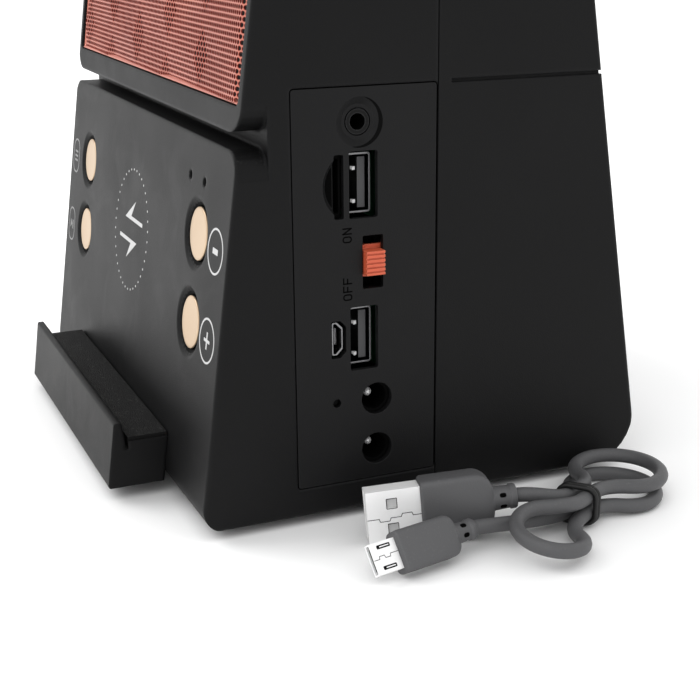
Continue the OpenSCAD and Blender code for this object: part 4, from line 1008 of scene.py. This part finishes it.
def make_pill_marks():
    """Three bars, and the play and pause signs, in upright rounded frames."""
    half_wide, half_tall, corner, line = 3.7, 5.1, 3.2, 0.5
    outer = rounded_box(0, 0, half_wide, half_tall, corner, 6)
    inner = rounded_box(0, 0, half_wide - line, half_tall - line, corner - line, 6)
    pill = raised_band(outer, inner, PRINT_HEIGHT)
    bars = raised([rounded_box(0, y, 1.7, 0.3, 0.1) for y in (-1.3, 0, 1.3)], PRINT_HEIGHT)
    front_print("mode_mark", joined(pill, bars), PRINT_GREY, MODE_MARK_X, MODE_MARK_Z)
    play = [(-1.7, -1.4), (0.4, 0), (-1.7, 1.4)]
    pause = [rounded_box(x, 0, 0.25, 1.4, 0.1) for x in (0.9, 1.8)]
    signs = raised([play] + pause, PRINT_HEIGHT)
    front_print("play_mark", joined(pill, signs), PRINT_GREY, PLAY_MARK_X, PLAY_MARK_Z)


make_charging_mark()
make_ringed_marks()
make_pill_marks()

# Switch positions on the port panel, read upwards
LETTER_TALL, LETTER_STEP, LETTER_HEIGHT = 1.9, 1.85, 0.015
LETTER_WIDE, LETTER_LINE = LETTER_TALL * 0.62, LETTER_TALL * 0.17
WORDS_Y, ON_Z, OFF_Z = -21, 65.2, 52.2


def letter_shapes(letter, start):
    """Raised strokes of a letter that is read upwards, from a place along the line."""
    tall, wide, line = LETTER_TALL, LETTER_WIDE, LETTER_LINE
    drawn = {"N": [[(0, 0), (0, tall), (wide, 0), (wide, tall)]],
             "F": [[(0, 0), (0, tall), (wide, tall)], [(0, tall / 2), (wide * 0.85, tall / 2)]]}
    flat = [stroke for way in drawn.get(letter, []) for stroke in strokes(way, line)]
    shapes = [raised([[(-v, start + u) for u, v in outline]], LETTER_HEIGHT) for outline in flat]
    if letter == "O":
        ovals = []
        for d in (line / 2, -line / 2):
            oval = rounded_box(wide / 2, tall / 2, wide / 2 + d, tall / 2 + d, wide / 2 + d - 0.05, 5)
            ovals.append([(-v, start + u) for u, v in oval])
        shapes.append(raised_band(*ovals, LETTER_HEIGHT))
    return shapes


def make_switch_marks():
    for name, word, z in (("switch_on_mark", "ON", ON_Z), ("switch_off_mark", "OFF", OFF_Z)):
        shapes = [shape for i, letter in enumerate(word) for shape in letter_shapes(letter, i * LETTER_STEP)]
        new_piece(name, joined(*shapes), MARK_BLACK, on_side(WORDS_Y, z))


make_switch_marks()

# Painted shade in the thumb dip beside the card slot, as a dark lining on the part of a circle beyond a chord
CARD_DIP_Y, CARD_DIP_Z, CARD_DIP_DEEP = -23.8, 77.4, 0.87
CARD_DIP_R, CARD_DIP_MIDDLE, CARD_DIP_CHORD = 7.1, 4.2, -1.3


def make_card_dip_shade():
    lean, steps = math.acos((CARD_DIP_MIDDLE - CARD_DIP_CHORD) / CARD_DIP_R), 16
    turns = [lean - 2 * lean * i / steps for i in range(steps + 1)]
    arc = [(CARD_DIP_MIDDLE - CARD_DIP_R * math.cos(a), CARD_DIP_R * math.sin(a)) for a in turns]
    sunk = on_side(CARD_DIP_Y, CARD_DIP_Z) @ Matrix.Translation((0, 0, -CARD_DIP_DEEP))
    new_piece("card_dip_shade", raised([arc], 0.02), MARK_BLACK, sunk)


make_card_dip_shade()

# Shaded far wall of the round dip about the jack: a crescent that lies on the dip's cone
JACK_Y, JACK_Z = -18.8, 91.1
JACK_DIP_R, JACK_DIP_FLOOR_R, JACK_DIP_DEEP = 5.5, 3.75, 1.2
SHADE_R, SHADE_WIDE, SHADE_T = 5.46, 0.75, 0.03
SHADE_FROM, SHADE_SWEEP, SHADE_STEPS = -110, 190, 32


def make_jack_dip():
    outer, inner = [], []
    for i in range(SHADE_STEPS + 1):
        a = math.radians(SHADE_FROM + SHADE_SWEEP * i / SHADE_STEPS)
        wide = SHADE_WIDE * math.sin(math.pi * i / SHADE_STEPS) ** 0.8
        for line, r in ((outer, SHADE_R), (inner, SHADE_R - wide - 0.02)):
            up = (r - JACK_DIP_FLOOR_R) / (JACK_DIP_R - JACK_DIP_FLOOR_R)
            line.append((r * math.cos(a), r * math.sin(a), up * JACK_DIP_DEEP - JACK_DIP_DEEP + 0.02))
    band = outer + inner[::-1]
    below = [(x, y, h - SHADE_T) for x, y, h in band]
    count = len(band)
    faces = [(i, (i + 1) % count, count + (i + 1) % count, count + i) for i in range(count)]
    faces += [(i, i + 1, count - 2 - i, count - 1 - i) for i in range(count // 2 - 1)]
    faces += [tuple(count + k for k in face[::-1]) for face in faces[count:]]
    new_piece("jack_dip_shade", (band + below, faces), FINISHES["socket_black"],
              on_side(JACK_Y, JACK_Z))


make_jack_dip()

# Spring fingers in the two large sockets, bowed inwards from the wall
SOCKETS_Y, MEDIA_Z, CHARGE_Z = -18, 77.6, 43
FINGER_UP, FINGER_HALF, FINGER_T, FINGER_STEPS = 3.6, 0.35, 0.14, 10
FINGER_WALL, FINGER_BOW, FINGER_START, FINGER_STEP = -2.45, 0.82, -0.6, 0.12


def spring_finger(up):
    sections = []
    for i in range(FINGER_STEPS + 1):
        near = FINGER_WALL + FINGER_BOW * math.sin(math.pi * i / FINGER_STEPS)
        depth = FINGER_START - FINGER_STEP * i
        low, high = up - FINGER_HALF, up + FINGER_HALF
        sections.append([(near, low, depth), (near + FINGER_T, low, depth), (near + FINGER_T, high, depth),
                         (near, high, depth)])
    return loft(sections)


def make_socket_springs():
    for name, z in (("media_socket_springs", MEDIA_Z), ("charge_socket_springs", CHARGE_Z)):
        fingers = joined(spring_finger(-FINGER_UP), spring_finger(FINGER_UP))
        new_piece(name, fingers, PLUG_INSERT, on_side(SOCKETS_Y, z))


make_socket_springs()

# Handle grip with turned grooves
HANDLE_PIVOT_Z, HANDLE_GAP, GRIP_SHORTER = 162, 0.3, 12
GRIP_Y, GRIP_Z, GRIP_R, GRIP_BORE_R, GRIP_SIDES = 8, 228, 6.5, 5.06, 40
GROOVE_STEP, GROOVES_EACH_WAY = 5.8, 9
# a groove's radii and their places along the grip
GROOVE = ((GRIP_R, -0.95), (6.2, -0.6), (6.02, 0), (6.2, 0.6), (GRIP_R, 0.95))


def make_handle_grip():
    half = side_x(HANDLE_PIVOT_Z) + HANDLE_GAP - GRIP_SHORTER
    round_end = [(GRIP_R, half - 0.8), (GRIP_R - 0.2, half - 0.25), (GRIP_R - 0.6, half), (GRIP_BORE_R, half)]
    profile = [(r, -along) for r, along in round_end[::-1]]
    for k in range(-GROOVES_EACH_WAY, GROOVES_EACH_WAY + 1):
        profile += [(r, GROOVE_STEP * k + along) for r, along in GROOVE]
    grip = lathe(profile + round_end, GRIP_SIDES, capped=False)
    at = place(in_metres(0, GRIP_Y, GRIP_Z), Y_AXIS, Z_AXIS, X_AXIS)
    rubber, slot = FINISHES["soft_rubber"], "soft_rubber"
    new_piece("grooved_grip", grip, rubber, at, True, ["handle_grip"], body="carry_handle")


make_handle_grip()

# Torch's bowl: a parabola turned about the beam
TORCH_Z = 171
BOWL_NECK_R, BOWL_MOUTH_R, BOWL_OUTER_R = 4, 12.5, 13.4
BOWL_LOW, BOWL_TALL, BOWL_STEPS = -22, 20, 12
BOWL_WALL, BOWL_BACK = 0.9, 0.2


def make_torch_bowl():
    inner = []
    for i in range(BOWL_STEPS + 1):
        r = BOWL_NECK_R + (BOWL_MOUTH_R - BOWL_NECK_R) * i / BOWL_STEPS
        rise = (r ** 2 - BOWL_NECK_R ** 2) / (BOWL_MOUTH_R ** 2 - BOWL_NECK_R ** 2)
        inner.append((r, BOWL_LOW + BOWL_TALL * rise))
    outer = [(min(r + BOWL_WALL, BOWL_OUTER_R), h - BOWL_BACK if i else h) for i, (r, h) in enumerate(inner)]
    bowl = lathe(inner + outer[::-1] + inner[:1], TURNED_SIDES, capped=False)
    bright, slot = FINISHES["reflector_bright"], "reflector_bright"
    new_piece("torch_bowl", bowl, bright, on_front(0, TORCH_Z), True, ["torch_reflector"])


make_torch_bowl()

# Table and light, in metres
TABLE_HALF = 6
TABLE_THROWN, TABLE_SHOWN = 0.95, 1.14
CONTACT_REACH, CONTACT_SHADE = 0.036, 0.7
LAMPS_AIM = Vector((0, 0, 0.06))
LAMPS = (("key", (-0.7, -0.9, 1.1), 0.9, 9), ("fill", (0.9, -0.6, 1.2), 0.9, 3))


def make_table_white():
    """White of the table, with a soft shade where something stands on it."""
    material, tree, link, shader = new_material("table white")
    shader.inputs["Roughness"].default_value = 0.9
    shader.inputs["Specular IOR Level"].default_value = 0.0
    # seen directly, in metal or through glass, the table is a little paler than the light that it throws back
    path = add(tree, "LightPath")
    seen = add(tree, "Math", operation="MAXIMUM")
    shown = add(tree, "Math", operation="MAXIMUM")
    tint = add_mix(tree, A=grey(TABLE_THROWN), B=grey(TABLE_SHOWN))
    link(path, "Is Camera Ray", seen, 0)
    link(path, "Is Glossy Ray", seen, 1)
    link(seen, 0, shown, 0)
    link(path, "Is Transmission Ray", shown, 1)
    link(shown, 0, tint, "Factor")
    near = add(tree, "AmbientOcclusion", samples=8, Distance=CONTACT_REACH)
    shade = add(tree, "MapRange", To_Min=CONTACT_SHADE)
    shaded = add(tree, "Mix", data_type="RGBA", blend_type="MULTIPLY", Factor=1.0)
    link(near, "AO", shade, "Value")
    link(tint, "Result", shaded, "A")
    link(shade, "Result", shaded, "B")
    link(shaded, "Result", shader, "Base Color")
    return material


def make_table():
    mesh = bpy.data.meshes.new("table")
    corners = [(sx * TABLE_HALF, sy * TABLE_HALF, 0) for sx, sy in ((-1, -1), (1, -1), (1, 1), (-1, 1))]
    mesh.from_pydata(corners, [], [(0, 1, 2, 3)])
    mesh.materials.append(make_table_white())
    table = bpy.data.objects.new("table", mesh)
    bpy.context.scene.collection.objects.link(table)


def make_light():
    world = bpy.data.worlds.new("studio")
    world.use_nodes = True
    bpy.context.scene.world = world
    world.node_tree.nodes["Background"].inputs["Color"].default_value = (1, 1, 1, 1)
    world.node_tree.nodes["Background"].inputs["Strength"].default_value = 1.0
    for name, at, size, power in LAMPS:
        lamp = bpy.data.lights.new(name, "AREA")
        lamp.size = size
        lamp.energy = power
        holder = bpy.data.objects.new(name, lamp)
        holder.location = at
        holder.rotation_euler = (LAMPS_AIM - Vector(at)).to_track_quat("-Z", "Y").to_euler()
        bpy.context.scene.collection.objects.link(holder)


make_table()
make_light()
